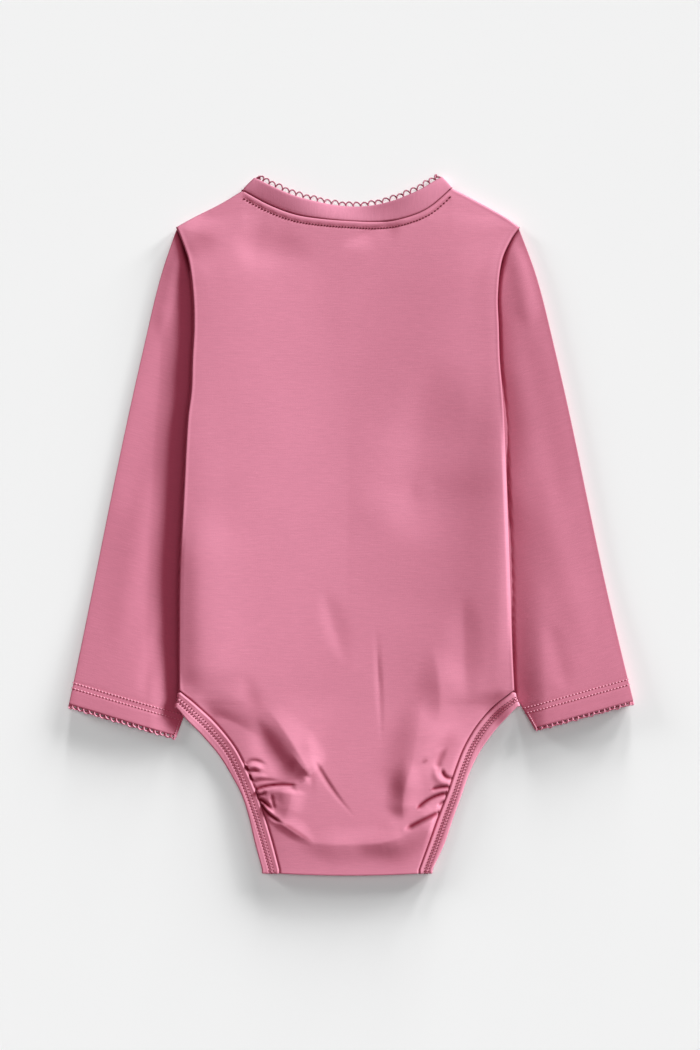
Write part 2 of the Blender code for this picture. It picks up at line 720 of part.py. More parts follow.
def spread_evenly(seam, rim, count):
    """Pairs of seam and rim points at equal steps along the closed rim."""
    lengths = [0.0]
    total = len(rim)
    for index in range(total):
        lengths.append(lengths[-1] + math.dist(rim[index], rim[(index + 1) % total]))
    pairs = []
    index = 0
    for step in range(count):
        target = lengths[-1] * step / count
        while lengths[index + 1] < target:
            index += 1
        part = (target - lengths[index]) / (lengths[index + 1] - lengths[index])
        after = (index + 1) % total
        low = tuple(a + part * (b - a) for a, b in zip(seam[index], seam[after]))
        high = tuple(a + part * (b - a) for a, b in zip(rim[index], rim[after]))
        pairs.append((low, high))
    return pairs


def make_material(name, colour, roughness, metallic=0.0):
    """Principled material."""
    material = bpy.data.materials.new(name)
    material.use_nodes = True
    shader = material.node_tree.nodes["Principled BSDF"]
    shader.inputs["Base Color"].default_value = colour
    shader.inputs["Roughness"].default_value = roughness
    shader.inputs["Metallic"].default_value = metallic
    return material


def place(x, y, z):
    """Point in metres, from the origin."""
    return ((x - ORIGIN_X) * MM, (y - ORIGIN_Y) * MM, z * MM)


def add_surface(name, grid, collection, colour, wall=WALL, closed_rows=False, closed_columns=False, flip=False):
    """Object from a grid of outer points, with a wall on its inner side."""
    mesh = bpy.data.meshes.new(name)
    work = bmesh.new()
    points = [[work.verts.new(place(*point)) for point in row] for row in grid]
    row_count = len(points) if closed_rows else len(points) - 1
    column_count = len(points[0]) if closed_columns else len(points[0]) - 1
    for row in range(row_count):
        lower = points[(row + 1) % len(points)]
        upper = points[row]
        for column in range(column_count):
            after = (column + 1) % len(upper)
            corners = [upper[column], lower[column], lower[after], upper[after]]
            if flip:
                corners.reverse()
            work.faces.new(corners)
    work.to_mesh(mesh)
    work.free()
    mesh.shade_smooth()
    item = bpy.data.objects.new(name, mesh)
    collection.objects.link(item)
    solidify = item.modifiers.new("wall", "SOLIDIFY")
    solidify.thickness = wall * MM
    solidify.offset = -1.0
    mesh.materials.append(make_material(name, colour, 0.9))
    return item


def add_snap(name, x, collection):
    """Round snap cap under the front flap."""
    bpy.ops.mesh.primitive_cylinder_add(
        vertices=20,
        radius=SNAP_RADIUS * MM,
        depth=SNAP_HEIGHT * MM,
        location=place(x, SNAP_Y, 0.5 * SNAP_HEIGHT),
    )
    item = bpy.context.active_object
    item.name = name
    for owner in item.users_collection:
        owner.objects.unlink(item)
    collection.objects.link(item)
    bevel = item.modifiers.new("rim", "BEVEL")
    bevel.width = 0.3 * MM
    bevel.segments = 1
    bevel.limit_method = "ANGLE"
    item.data.materials.append(make_material(name, SNAP_COLOUR, 0.4))
    return item


def main():
    """Build every piece of the bodysuit."""
    for item in list(bpy.data.objects):
        bpy.data.objects.remove(item, do_unlink=True)
    collection = bpy.data.collections.new(COLLECTION)
    bpy.context.scene.collection.children.link(collection)

    add_surface("back_panel", back_rows(), collection, CLOTH_COLOUR)
    add_surface("front_panel", front_rows(), collection, CLOTH_COLOUR, flip=True)
    sleeves = (
        ("left", LEFT_SLEEVE, LEFT_ARMHOLE, -1.0),
        ("right", RIGHT_SLEEVE, RIGHT_ARMHOLE, 1.0),
    )
    for name, rows, armhole, side in sleeves:
        flip = side < 0.0
        sleeve = sleeve_rings(rows, armhole, side)
        add_surface("sleeve_" + name, sleeve, collection, CLOTH_COLOUR, closed_columns=True, flip=not flip)
        edging = cuff_picot_rings(rows, armhole, side)
        add_surface(
            "picot_cuff_" + name, edging, collection, TRIM_COLOUR, PICOT_WALL, closed_columns=True, flip=not flip
        )
    add_surface("neckband", neck_ring(), collection, TRIM_COLOUR, closed_rows=True)
    edging = neck_picot_rings()
    add_surface("picot_neck", edging, collection, TRIM_COLOUR, PICOT_WALL, closed_columns=True, flip=True)
    left = leg_strip(LEFT_BACK_LEG, LEFT_FRONT_LEG, -1.0)
    add_surface("leg_band_left", left, collection, TRIM_COLOUR, flip=True)
    right = leg_strip(RIGHT_BACK_LEG, RIGHT_FRONT_LEG, 1.0)
    add_surface("leg_band_right", right, collection, TRIM_COLOUR)
    for number, x in enumerate(SNAP_X, start=1):
        add_snap("snap_" + str(number), x, collection)


if __name__ == "__main__":
    main()
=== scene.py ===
"""Long-sleeved baby bodysuit in plain knit, laid flat with its back up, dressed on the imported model.

Drawing sizes are in millimetres, X across, Y from crotch to neck and Z up from the surface. They become
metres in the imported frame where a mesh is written.
"""

import logging
import math
from dataclasses import dataclass, field
from enum import Enum
from typing import Callable, NamedTuple, Sequence

import bpy
import numpy as np
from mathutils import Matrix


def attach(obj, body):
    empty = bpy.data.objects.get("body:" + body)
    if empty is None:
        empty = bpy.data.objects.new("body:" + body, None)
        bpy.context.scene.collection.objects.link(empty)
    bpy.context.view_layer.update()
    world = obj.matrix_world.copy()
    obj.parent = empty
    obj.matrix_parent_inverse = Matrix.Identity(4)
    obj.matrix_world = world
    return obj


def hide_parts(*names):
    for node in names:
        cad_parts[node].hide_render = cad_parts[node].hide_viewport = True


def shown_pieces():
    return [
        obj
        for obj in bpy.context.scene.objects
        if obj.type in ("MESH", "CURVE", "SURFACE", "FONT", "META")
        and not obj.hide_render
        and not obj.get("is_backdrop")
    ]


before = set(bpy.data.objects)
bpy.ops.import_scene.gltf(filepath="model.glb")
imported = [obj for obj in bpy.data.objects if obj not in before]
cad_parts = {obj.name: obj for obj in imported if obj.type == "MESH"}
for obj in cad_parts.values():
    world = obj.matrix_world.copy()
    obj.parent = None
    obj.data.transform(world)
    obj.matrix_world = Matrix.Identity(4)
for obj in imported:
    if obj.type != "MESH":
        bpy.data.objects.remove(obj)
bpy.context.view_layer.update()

Array = np.ndarray
Pair = tuple[float, float]
Triple = tuple[float, float, float]
MM = 0.001
ORIGIN_X = 0.59
ORIGIN_Y = 0.80
BODY = "root"
LOG = logging.getLogger("bodysuit")


class EdgeRow(NamedTuple):
    """Left and right edge of the body at a height."""

    y: float
    left: float
    right: float


class LineRow(NamedTuple):
    """Point of an edge line."""

    x: float
    y: float


class StripRow(NamedTuple):
    """Seam side and free side of a band at one station."""

    seam_x: float
    seam_y: float
    rim_x: float
    rim_y: float


class LegRow(NamedTuple):
    """Seam and free side of a leg binding at a height."""

    seam_y: float
    seam_x: float
    rim_x: float
    rim_y: float


class SleeveRow(NamedTuple):
    """Outer and inner edge of a flattened sleeve at one station."""

    outer_x: float
    outer_y: float
    inner_x: float
    inner_y: float


class ArmRow(NamedTuple):
    """Point of an armhole seam at a part of the sleeve's width."""

    across: float
    x: float
    y: float


class Fold(NamedTuple):
    """Fold along a bent line: its height, half widths to the left and right, faded ends and sharpness."""

    x0: float
    y0: float
    x1: float
    y1: float
    x2: float
    y2: float
    height: float
    left: float
    right: float
    start: float = 0.3
    end: float = 0.3
    sharp: float = 0.0


def table(kind: type, *rows: tuple[float, ...]) -> tuple:
    """Rows of one kind."""
    return tuple(kind(*row) for row in rows)


class Slot(Enum):
    """Material slots of the record."""

    JERSEY = "jersey"
    BINDING = "binding"
    PICOT = "picot"
    SNAP = "snap"


class Side(Enum):
    """The two sides as seen from above, with the sign of X."""

    LEFT = -1.0
    RIGHT = 1.0

    @property
    def word(self) -> str:
        """Name of the side in piece names and table columns."""
        return self.name.lower()


# Side folds of the body, from the top down.
BODY_EDGE = table(
    EdgeRow,
    (184.5, -108.1, 105.5), (177.0, -105.0, 100.2), (163.5, -100.3, 94.3), (142.0, -97.5, 91.8),
    (122.0, -97.0, 92.4), (102.0, -98.0, 93.0), (83.4, -98.6, 94.6), (64.8, -100.8, 95.8),
    (15.2, -103.4, 97.8), (-31.0, -105.7, 99.5), (-77.8, -106.2, 100.8), (-102.6, -106.2, 102.0),
)
# Leg seams of the back with the free side of the bindings, from the top down.
BACK_LEG = {
    Side.LEFT: table(
        LegRow,
        (-102.6, -106.2, -108.7, -113.6), (-112.0, -95.2, -101.7, -120.5), (-124.6, -82.5, -91.0, -132.0),
        (-138.0, -71.7, -81.2, -143.8), (-152.0, -64.3, -73.6, -156.0), (-165.2, -58.5, -67.0, -168.5),
        (-179.4, -53.5, -62.8, -181.8), (-196.0, -48.5, -59.0, -197.8), (-214.0, -43.8, -54.6, -214.0),
    ),
    Side.RIGHT: table(
        LegRow,
        (-102.6, 102.0, 105.4, -112.8), (-112.0, 90.2, 97.0, -120.0), (-124.6, 79.0, 87.4, -131.4),
        (-138.0, 71.0, 79.6, -143.2), (-152.0, 65.4, 74.0, -155.0), (-165.2, 60.9, 69.4, -167.6),
        (-179.4, 55.4, 64.2, -181.8), (-196.0, 49.4, 58.6, -198.2), (-214.0, 42.8, 51.2, -214.0),
    ),
}
# The same on the front, which is cut further in.
FRONT_LEG = {
    Side.LEFT: table(
        LegRow,
        (-102.6, -106.2, -108.7, -113.6), (-112.5, -90.0, -96.0, -120.8), (-125.0, -74.0, -81.8, -131.5),
        (-139.0, -61.0, -70.0, -144.0), (-153.0, -53.5, -63.0, -156.5), (-167.0, -48.5, -58.3, -169.2),
        (-182.0, -44.5, -54.4, -183.4), (-199.7, -42.5, -52.6, -199.7),
    ),
    Side.RIGHT: table(
        LegRow,
        (-102.6, 102.0, 105.4, -112.8), (-112.5, 86.5, 92.5, -120.8), (-125.0, 70.5, 78.3, -131.5),
        (-139.0, 58.0, 67.0, -144.0), (-153.0, 51.0, 60.5, -156.5), (-167.0, 46.5, 56.2, -169.2),
        (-182.0, 43.5, 53.4, -183.4), (-199.7, 42.0, 51.0, -199.7),
    ),
}
# Shoulders and the neck seam of the back, from left to right.
SHOULDER = {
    Side.LEFT: table(LineRow, (-108.1, 184.5), (-94.9, 192.0), (-80.0, 199.6), (-66.8, 207.6)),
    Side.RIGHT: table(LineRow, (63.2, 209.1), (75.0, 203.1), (94.9, 192.0), (105.5, 184.5)),
}
BACK_NECK = table(
    LineRow,
    (-66.8, 207.6), (-49.7, 198.3), (-34.3, 192.6), (-18.9, 190.0), (-0.4, 188.5), (17.1, 188.0),
    (32.5, 190.0), (47.9, 196.2), (63.2, 209.1),
)
# Inner edges of the sleeves under the body, which is lifted over them.
TUCK_EDGE = table(
    EdgeRow,
    (210.0, -112.0, 110.0), (190.0, -106.0, 104.0), (171.0, -97.0, 92.0), (150.0, -90.0, 85.0),
    (120.0, -85.0, 80.0), (78.0, -79.5, 75.5), (48.0, -75.5, 72.0), (18.0, -73.5, 70.0),
    (-14.0, -73.5, 70.0), (-46.0, -77.0, 73.0), (-76.0, -84.0, 81.0), (-103.0, -94.5, 96.0),
    (-120.0, -101.5, 103.5), (-140.0, -121.0, 121.0),
)
# Edges of the body, carried on over the sleeves beside the leg openings.
COVER_EDGE = BODY_EDGE + table(
    EdgeRow,
    (-114.3, -108.8, 105.8), (-119.0, -104.0, 100.0), (-126.0, -95.0, 92.0), (-134.0, -86.0, 84.0),
)
# Neckband at the back and, deeper, at the front, from left to right.
BACK_NECK_BAND = table(
    StripRow,
    (-66.8, 207.6, -58.5, 215.2), (-50.5, 198.7, -46.7, 209.1), (-37.0, 193.5, -34.3, 203.9),
    (-20.0, 190.1, -18.9, 200.3), (-3.0, 188.6, -3.5, 198.3), (14.0, 188.0, 12.0, 198.3),
    (30.0, 189.5, 27.3, 201.3), (47.5, 196.0, 42.8, 207.5), (63.2, 209.1, 56.2, 215.8),
)
FRONT_NECK = table(
    StripRow,
    (-66.8, 207.6, -58.5, 215.2), (-62.0, 190.0, -51.5, 193.5), (-50.0, 169.5, -42.2, 177.3),
    (-29.0, 156.0, -25.0, 166.3), (-1.0, 151.0, -1.0, 162.0), (27.0, 156.0, 23.0, 166.3),
    (47.0, 169.5, 39.2, 177.3), (58.5, 190.0, 48.0, 193.5), (63.2, 209.1, 56.2, 215.8),
)
# Flattened sleeves from the armhole to the cuff, and their armhole seams.
SLEEVE = {
    Side.LEFT: table(
        SleeveRow,
        (-108.4, 185.2, -82.0, 74.0), (-119.0, 151.6, -77.5, 46.0), (-129.0, 108.2, -76.5, 18.0),
        (-139.2, 61.7, -76.5, -14.0), (-148.8, 15.2, -80.0, -46.0), (-158.1, -31.3, -87.0, -76.0),
        (-167.4, -77.8, -97.4, -103.0), (-174.5, -111.8, -107.9, -131.8),
    ),
    Side.RIGHT: table(
        SleeveRow,
        (106.0, 184.4, 78.0, 74.0), (117.2, 151.6, 74.0, 46.0), (127.7, 108.2, 73.0, 18.0),
        (138.0, 61.7, 73.0, -14.0), (147.6, 15.2, 76.5, -46.0), (157.4, -31.3, 84.5, -75.0),
        (168.0, -77.8, 99.4, -100.5), (175.7, -109.5, 114.3, -126.4),
    ),
}
ARMHOLE = {
    Side.LEFT: table(
        ArmRow,
        (0.0, -108.4, 185.2), (0.25, -98.6, 158.0), (0.5, -92.3, 130.0), (0.75, -90.0, 104.0),
        (0.9, -87.6, 86.0), (1.0, -82.0, 74.0),
    ),
    Side.RIGHT: table(
        ArmRow,
        (0.0, 106.0, 184.4), (0.25, 93.5, 158.0), (0.5, 87.0, 130.0), (0.75, 85.5, 104.0),
        (0.9, 83.5, 86.0), (1.0, 78.0, 74.0),
    ),
}

# Broad, soft shapes of the back.
BACK_SWELLS = table(
    Fold,
    (54, 106, 45, 42, 42, -16, -2.9, 38, 24, 0.45, 0.35),
    (44, 40, 42, -20, 42, -104, -1.1, 50, 36, 0.4, 0.4),
    (95, 80, 92, -10, 89, -106, 2.5, 11, 22, 0.3, 0.35),
    (70, -40, 70.5, -72, 72, -112, -0.8, 8, 8, 0.4, 0.35, 0.7),
    (-17, -38, -11, -62, -2, -88, -0.6, 7, 5, 0.4, 0.4, 0.3),
    (-94, 14, -91, -46, -90, -106, 1.4, 20, 13, 0.3, 0.15),
    (-74, 174, -50, 170, -20, 165, -1.3, 15, 10, 0.35, 0.5),
    (-6, 173, 12, 181, 34, 191, -1.5, 3, 7, 0.5, 0.3, 0.2),
)
# Folds of the seat, from the big one on the left to the line over the crotch.
SEAT_FOLDS = table(
    Fold,
    (-53, -112, -39, -127.5, -24.3, -155.5, 2.0, 9, 12, 0.7, 0.1, 0.8),
    (-55, -108, -41, -127, -27, -150, 1.6, 24, 12, 0.6, 0.45, 0.2),
    (-60, -118, -52, -138, -36, -157.5, -1.7, 6, 9, 0.5, 0.2),
    (-68, -92, -62, -103, -57, -116, -0.35, 5, 6, 0.4, 0.4),
    (-37, -140, -31, -149, -24.3, -156, 1.5, 7, 5, 0.6, 0.05, 0.9),
    (-28, -126, -23, -144, -20, -170, 0.8, 6, 5, 0.5, 0.5, 0.2),
    (-21.5, -146, -11, -166.5, 6, -184, -0.65, 1.1, 2.2, 0.12, 0.7, 0.9),
    (50, -72, 59, -104, 54, -124, 1.7, 12, 10, 0.5, 0.45, 0.7),
    (46, -100, 42, -134, 33, -176, 2.8, 20, 12, 0.45, 0.3, 0.2),
    (40, -146, 31, -162, 33, -184, 2.0, 8, 7, 0.5, 0.25, 0.6),
    (-36, -196, 6, -202, 36, -193, 1.7, 7, 8, 0.35, 0.4, 0.6),
    (2, -199.5, 40, -197, 62, -172, 3.6, 8, 9, 0.4, 0.3, 0.5),
    (-55, -173, -48, -184, -20.5, -199.2, 1.6, 6, 3.0, 0.1, 0.3, 0.9),
    (16, -60, 18, -84, 20, -142, -0.5, 1.2, 2.0, 0.5, 0.4, 0.9),
    (-36, -163, -36, -173, -42, -184, 1.7, 6, 9, 0.2, 0.4, 0.4),
)
# Gathers along the two leg seams.
LEG_GATHERS = table(
    Fold,
    (-59, -165.6, -44, -162, -31, -162.3, 2.2, 1.4, 8, 0.05, 0.45, 0.9),
    (-37, -163, -31, -161, -24.5, -155.2, 1.3, 1.6, 4, 0.3, 0.3, 0.7),
    (-59, -164.6, -52, -160.8, -33, -161.8, -1.4, 1.4, 1.4, 0.05, 0.3, 0.7),
    (-65, -149.3, -61, -143.6, -50.5, -150, -0.9, 1.4, 1.6, 0.05, 0.4, 0.7),
    (-64.5, -151, -60, -148, -52, -153, 1.0, 1.6, 1.8, 0.05, 0.4, 0.6),
    (-63.5, -153.8, -60, -151.8, -55, -154, -1.2, 1.3, 1.4, 0.05, 0.4, 0.8),
    (-62, -157, -57, -155.5, -50, -156.5, 0.7, 1.4, 1.4, 0.05, 0.4, 0.6),
    (-61, -160.2, -54, -157.4, -40, -159.6, -1.0, 1.3, 1.3, 0.05, 0.5, 0.8),
    (-57.8, -167.4, -54.5, -168.6, -51.5, -164.6, -1.1, 1.2, 1.2, 0.05, 0.3, 0.8),
    (-57, -170.3, -52.5, -172, -47.3, -178.3, -1.6, 1.5, 1.6, 0.05, 0.35, 0.8),
    (-48.8, -166, -48.6, -171, -46.2, -178, -0.7, 1.2, 1.2, 0.3, 0.3, 0.8),
    (-56, -171.8, -51.5, -176, -46.5, -180, 1.0, 1.2, 1.2, 0.05, 0.3, 0.7),
    (-55.5, -173, -51.5, -180.8, -40, -186, -1.4, 1.2, 1.5, 0.05, 0.3, 0.8),
    (61, -137, 53.5, -146, 54.5, -152, -0.9, 1.8, 2.2, 0.4, 0.2, 0.4),
    (57, -150, 57, -158, 63.8, -157.4, -1.4, 1.3, 1.3, 0.3, 0.05, 0.8),
    (52.5, -148, 52, -160.5, 62, -160.6, 0.8, 1.8, 2.4, 0.4, 0.05, 0.4),
    (43, -148.7, 50, -143.2, 60, -137, 0.6, 1.8, 1.8, 0.4, 0.4, 0.6),
    (50, -164.3, 55, -162.2, 62.6, -162.9, -1.5, 1.3, 1.5, 0.2, 0.05, 0.8),
    (41, -176.8, 49, -168.4, 61, -166.6, -2.0, 1.5, 1.7, 0.15, 0.05, 0.8),
    (54, -175.5, 56.5, -172.3, 59, -171.6, -1.2, 1.2, 1.2, 0.4, 0.05, 0.8),
    (33, -189.3, 44, -183.2, 56, -178.2, -1.9, 1.5, 1.9, 0.2, 0.05, 0.8),
)
# Painted shade, from 0 to 1, in the folds that are pressed shut and over some broad hollows and slopes.
CREASE_PAINTED_SHADE = table(
    Fold,
    (-103, 168, -93, 180, -74, 179, 0.24, 7, 9, 0.2, 0.5),
    (-76, 182, -48, 177, -12, 172, 0.1, 7, 8, 0.35, 0.5),
    (-101.5, -2, -101.5, -50, -99.5, -103, 0.17, 6, 5, 0.3, 0.08),
    (66, -124, 61, -138, 54, -154, 0.22, 6, 5, 0.4, 0.3),
    (-58.8, -164.6, -50, -159.8, -30, -161.6, 1.3, 1.0, 1.0, 0.05, 0.2, 0.4),
    (-60.5, -160, -54, -157.4, -40, -159.5, 0.6, 1.1, 1.1, 0.1, 0.6, 0.3),
    (-48, -130, -38, -148, -27, -157.5, 0.24, 3.5, 8, 0.6, 0.12),
    (-65, -97, -59, -112, -49, -126, 0.17, 5, 5, 0.4, 0.4),
    (-64.8, -149, -61, -143.4, -50.5, -149.5, 0.5, 1.0, 1.0, 0.1, 0.4),
    (-63.3, -153.5, -60, -151.6, -55.5, -153.5, 0.65, 1.0, 1.0, 0.1, 0.5),
    (-64.2, -149, -63.9, -151, -62.9, -153.4, 1.1, 1.1, 0.9, 0.2, 0.2),
    (-62.5, -154.4, -61.7, -157, -60.3, -160, 1.1, 1.1, 0.9, 0.2, 0.2),
    (-57.8, -167.2, -54.5, -168.5, -51.8, -164.8, 0.95, 1.0, 1.0, 0.1, 0.4),
    (-56.8, -170.2, -52.5, -172, -47.5, -178, 1.0, 1.3, 1.3, 0.1, 0.4),
    (-55.5, -172.8, -51.5, -180.5, -40, -185.8, 1.0, 1.0, 1.0, 0.1, 0.3),
    (-44, -183.7, -33, -189.2, -21, -199, 0.5, 1.2, 1.8, 0.3, 0.3),
    (-48.8, -166.5, -48.4, -171, -46.3, -177.5, 0.6, 0.9, 0.9, 0.3, 0.3),
    (-43, -163.5, -42, -172, -40, -182, 0.2, 5, 4.5, 0.2, 0.3),
    (-21.3, -146.5, -11, -166.5, 4, -182, 0.5, 0.9, 1.1, 0.15, 0.6),
    (60, -138, 53, -146.5, 54.6, -151, 0.25, 1.6, 1.6, 0.4, 0.2),
    (57, -150.5, 57, -157.6, 63.3, -157.4, 1.0, 1.0, 1.0, 0.3, 0.1),
    (48, -165, 55, -162.4, 62.2, -162.9, 1.0, 1.0, 1.1, 0.3, 0.1),
    (40, -178, 48, -168.5, 60.3, -166.7, 1.1, 1.2, 1.2, 0.2, 0.1),
    (54.6, -174.8, 56.5, -172.3, 58.8, -171.7, 0.7, 0.9, 0.9, 0.4, 0.1),
    (33, -189.5, 44, -183, 55.3, -178.3, 0.95, 1.4, 1.7, 0.25, 0.1),
    (44.8, -148, 46.5, -146.5, 48.6, -145.2, 0.35, 1.0, 1.0, 0.3, 0.3),
    (2, -207, 36, -206, 52, -190, 0.3, 8, 9, 0.5, 0.1),
    (34, -140, 29, -158, 32.5, -184, 0.26, 4, 5, 0.4, 0.15),
    (16.2, -72, 18.3, -88, 20, -110, 0.25, 0.9, 0.9, 0.5, 0.4),
)
# Painted shade where the back meets the leg bindings, by height on the left and right seam.
LEG_SEAM_PAINTED_SHADE = table(
    EdgeRow,
    (-100.0, 0.5, 0.5), (-126.0, 0.4, 0.7), (-134.0, 0.4, 0.95), (-154.0, 0.6, 0.95), (-162.0, 0.8, 0.5),
    (-174.0, 0.8, 0.6), (-184.0, 0.7, 0.95), (-200.0, 0.6, 0.8), (-217.0, 0.6, 0.6),
)
# Shallow creases of the sleeves' upper sides.
SLEEVE_FOLDS = {
    Side.LEFT: table(
        Fold,
        (-104, 176, -112, 146, -118, 112, 0.8, 6, 6),
        (-112, 120, -126, 60, -140, -6, -0.5, 10, 9),
        (-124, 40, -132, -20, -146, -84, 0.6, 9, 10),
        (-118, -60, -122, -84, -130, -108, -0.5, 6, 5),
    ),
    Side.RIGHT: table(
        Fold,
        (100, 178, 108, 150, 112, 118, 0.8, 6, 6),
        (95, 112, 97, 70, 99, 20, -1.3, 11, 3, 0.6, 0.4),
        (98, 30, 101, -20, 104, -86, -1.0, 12, 3, 0.4, 0.4),
        (106, 122, 118, 74, 132, 10, -0.5, 10, 9),
        (118, 30, 130, -24, 148, -80, 0.5, 10, 10),
        (122, -58, 130, -84, 134, -104, -0.5, 6, 6),
    ),
}
# Shallow creases of the front, upwards into the garment.
FRONT_FOLDS = table(
    Fold,
    (-40, 60, -30, 10, -38, -50, 0.35, 9, 7),
    (34, 90, 40, 30, 30, -36, 0.4, 8, 9),
    (-10, -60, 4, -100, -6, -140, 0.35, 6, 5),
    (-60, -150, -30, -140, -8, -150, 0.5, 3.0, 4.0, 0.1, 0.5),
    (56, -152, 34, -142, 12, -150, 0.5, 3.5, 3.0, 0.1, 0.5),
    (-52, -164, -34, -160, -20, -164, 0.4, 2.5, 2.5, 0.1, 0.5),
    (50, -166, 34, -160, 22, -164, 0.4, 2.5, 2.5, 0.1, 0.5),
)

# Heights above which the rows of the back and the front bend towards the shoulders.
YOKE_Y = 145.0
FRONT_YOKE_Y = 118.0
SHOULDER_TIP_Y = 184.5
# Ends of the leg seams, and the zone in which the side fold turns into the seam.
LEG_TOP_Y = -102.6
LEG_FOOT_Y = -216.3
LEG_CORNER = (LEG_TOP_Y - 6.0, LEG_TOP_Y + 2.0)
# Half width of the front's neck as a part of its half width.
FRONT_NECK_PART = 0.607
# Shade in the seams of the bands, and how far it reaches.
SEAM_SHADE = 0.7
SEAM_SHADE_WIDTH = 0.6
UP = (0.0, 0.0, 1.0)
DOWN = (0.0, 0.0, -1.0)
# Mesh layer of painted shade, from 0 to 1, that darkens the knit towards a near-black rose.
PAINTED_SHADE_LAYER = "fold_depth"
TINY = 1e-9
FULL_TURN = 2.0 * math.pi


def ease(start: float, end: float, value: Array) -> Array:
    """Smooth step from 0 at start to 1 at end."""
    part = np.clip((value - start) / (end - start), 0.0, 1.0)
    return part * part * (3.0 - 2.0 * part)


def bump(at: Array, middle: float, width: float) -> Array:
    """Bell of height 1 round a middle."""
    return np.exp(-(((at - middle) / width) ** 2))


def column(rows: Sequence[NamedTuple], name: str) -> Array:
    """One named column of a table."""
    return np.array([getattr(row, name) for row in rows], dtype=float)


def curve(keys: Array, values: Array, at: Array) -> Array:
    """Smooth curve through values at keys.

    Args:
        keys: Places of the values, in any order.
        values: Values, one for each key.
        at: Places at which the curve is read, held inside the keys.

    Returns:
        The curve's values, in the form of at.
    """
    order = np.argsort(keys)
    keys = keys[order]
    values = values[order]
    low = np.maximum(np.arange(len(keys)) - 1, 0)
    high = np.minimum(np.arange(len(keys)) + 1, len(keys) - 1)
    slopes = (values[high] - values[low]) / (keys[high] - keys[low])
    at = np.clip(at, keys[0], keys[-1])
    index = np.clip(np.searchsorted(keys, at) - 1, 0, len(keys) - 2)
    span = keys[index + 1] - keys[index]
    part = (at - keys[index]) / span
    square = part * part
    cube = square * part
    return (
        (2 * cube - 3 * square + 1) * values[index]
        + (cube - 2 * square + part) * slopes[index] * span
        + (3 * square - 2 * cube) * values[index + 1]
        + (cube - square) * slopes[index + 1] * span
    )


def read(rows: Sequence[NamedTuple], key: str, name: str, at: Array) -> Array:
    """Smooth curve through one column of a table, read where another column has the value at."""
    return curve(column(rows, key), column(rows, name), np.asarray(at, dtype=float))


def read_evenly(rows: Sequence[NamedTuple], name: str, part: Array) -> Array:
    """One column of a table at parts of its length, rows counted as evenly spaced."""
    keys = np.arange(len(rows), dtype=float)
    return curve(keys, column(rows, name), np.asarray(part, dtype=float) * (len(rows) - 1))


def steps(start: float, end: float, spacing: float) -> list[float]:
    """Even places from start towards end, without end, about spacing apart."""
    count = max(1, round(abs(end - start) / spacing))
    return [start + (end - start) * index / count for index in range(count)]


@dataclass(frozen=True)
class Creases:
    """A set of folds that bend a flat cloth."""

    folds: tuple[Fold, ...]
    line_steps: int = 16
    ramp: float = 0.62
    foot: float = 1.5
    thin: float = 0.5
    extent: float = 3.0

    def relief(self, x: Array, y: Array) -> Array:
        """Height of all folds at places.

        Args:
            x: Places across.
            y: Places along.

        Returns:
            Heights in the form of x.
        """
        total = np.zeros_like(x)
        for fold in self.folds:
            self.add(fold, x, y, total)
        return total

    def line(self, fold: Fold) -> Array:
        """Points of a fold's bent line."""
        part = np.linspace(0.0, 1.0, self.line_steps + 1)[:, None]
        start = np.array([fold.x0, fold.y0])
        bend = np.array([fold.x1, fold.y1])
        end = np.array([fold.x2, fold.y2])
        return (1 - part) ** 2 * start + 2 * part * (1 - part) * bend + part**2 * end

    def add(self, fold: Fold, x: Array, y: Array, total: Array) -> None:
        """Add one fold to a field of heights.

        Args:
            fold: The fold.
            x: Places across.
            y: Places along.
            total: Heights, changed in place.
        """
        line = self.line(fold)
        reach = self.extent * max(fold.left, fold.right)
        low = line.min(axis=0) - reach
        high = line.max(axis=0) + reach
        near = (x > low[0]) & (x < high[0]) & (y > low[1]) & (y < high[1])
        px = x[near]
        py = y[near]
        nearest = np.full(px.shape, reach)
        width = np.full(px.shape, fold.left)
        along = np.zeros(px.shape)
        for step in range(self.line_steps):
            dx, dy = line[step + 1] - line[step]
            part = ((px - line[step, 0]) * dx + (py - line[step, 1]) * dy) / (dx * dx + dy * dy)
            part = np.clip(part, 0.0, 1.0)
            off_x = px - line[step, 0] - part * dx
            off_y = py - line[step, 1] - part * dy
            gap = np.hypot(off_x, off_y)
            closer = gap < nearest
            nearest = np.where(closer, gap, nearest)
            along = np.where(closer, (step + part) / self.line_steps, along)
            width = np.where(closer, np.where(dx * off_y - dy * off_x > 0, fold.left, fold.right), width)
        fade = ease(0.0, fold.start, along) * ease(1.0, 1.0 - fold.end, along)
        part = nearest / (width * (self.thin + (1.0 - self.thin) * fade))
        soft = np.exp(-part * part)
        crisp = np.clip(1.0 - self.ramp * part, 0.0, 1.0) ** self.foot
        total[near] += fold.height * fade * (soft + fold.sharp * (crisp - soft))


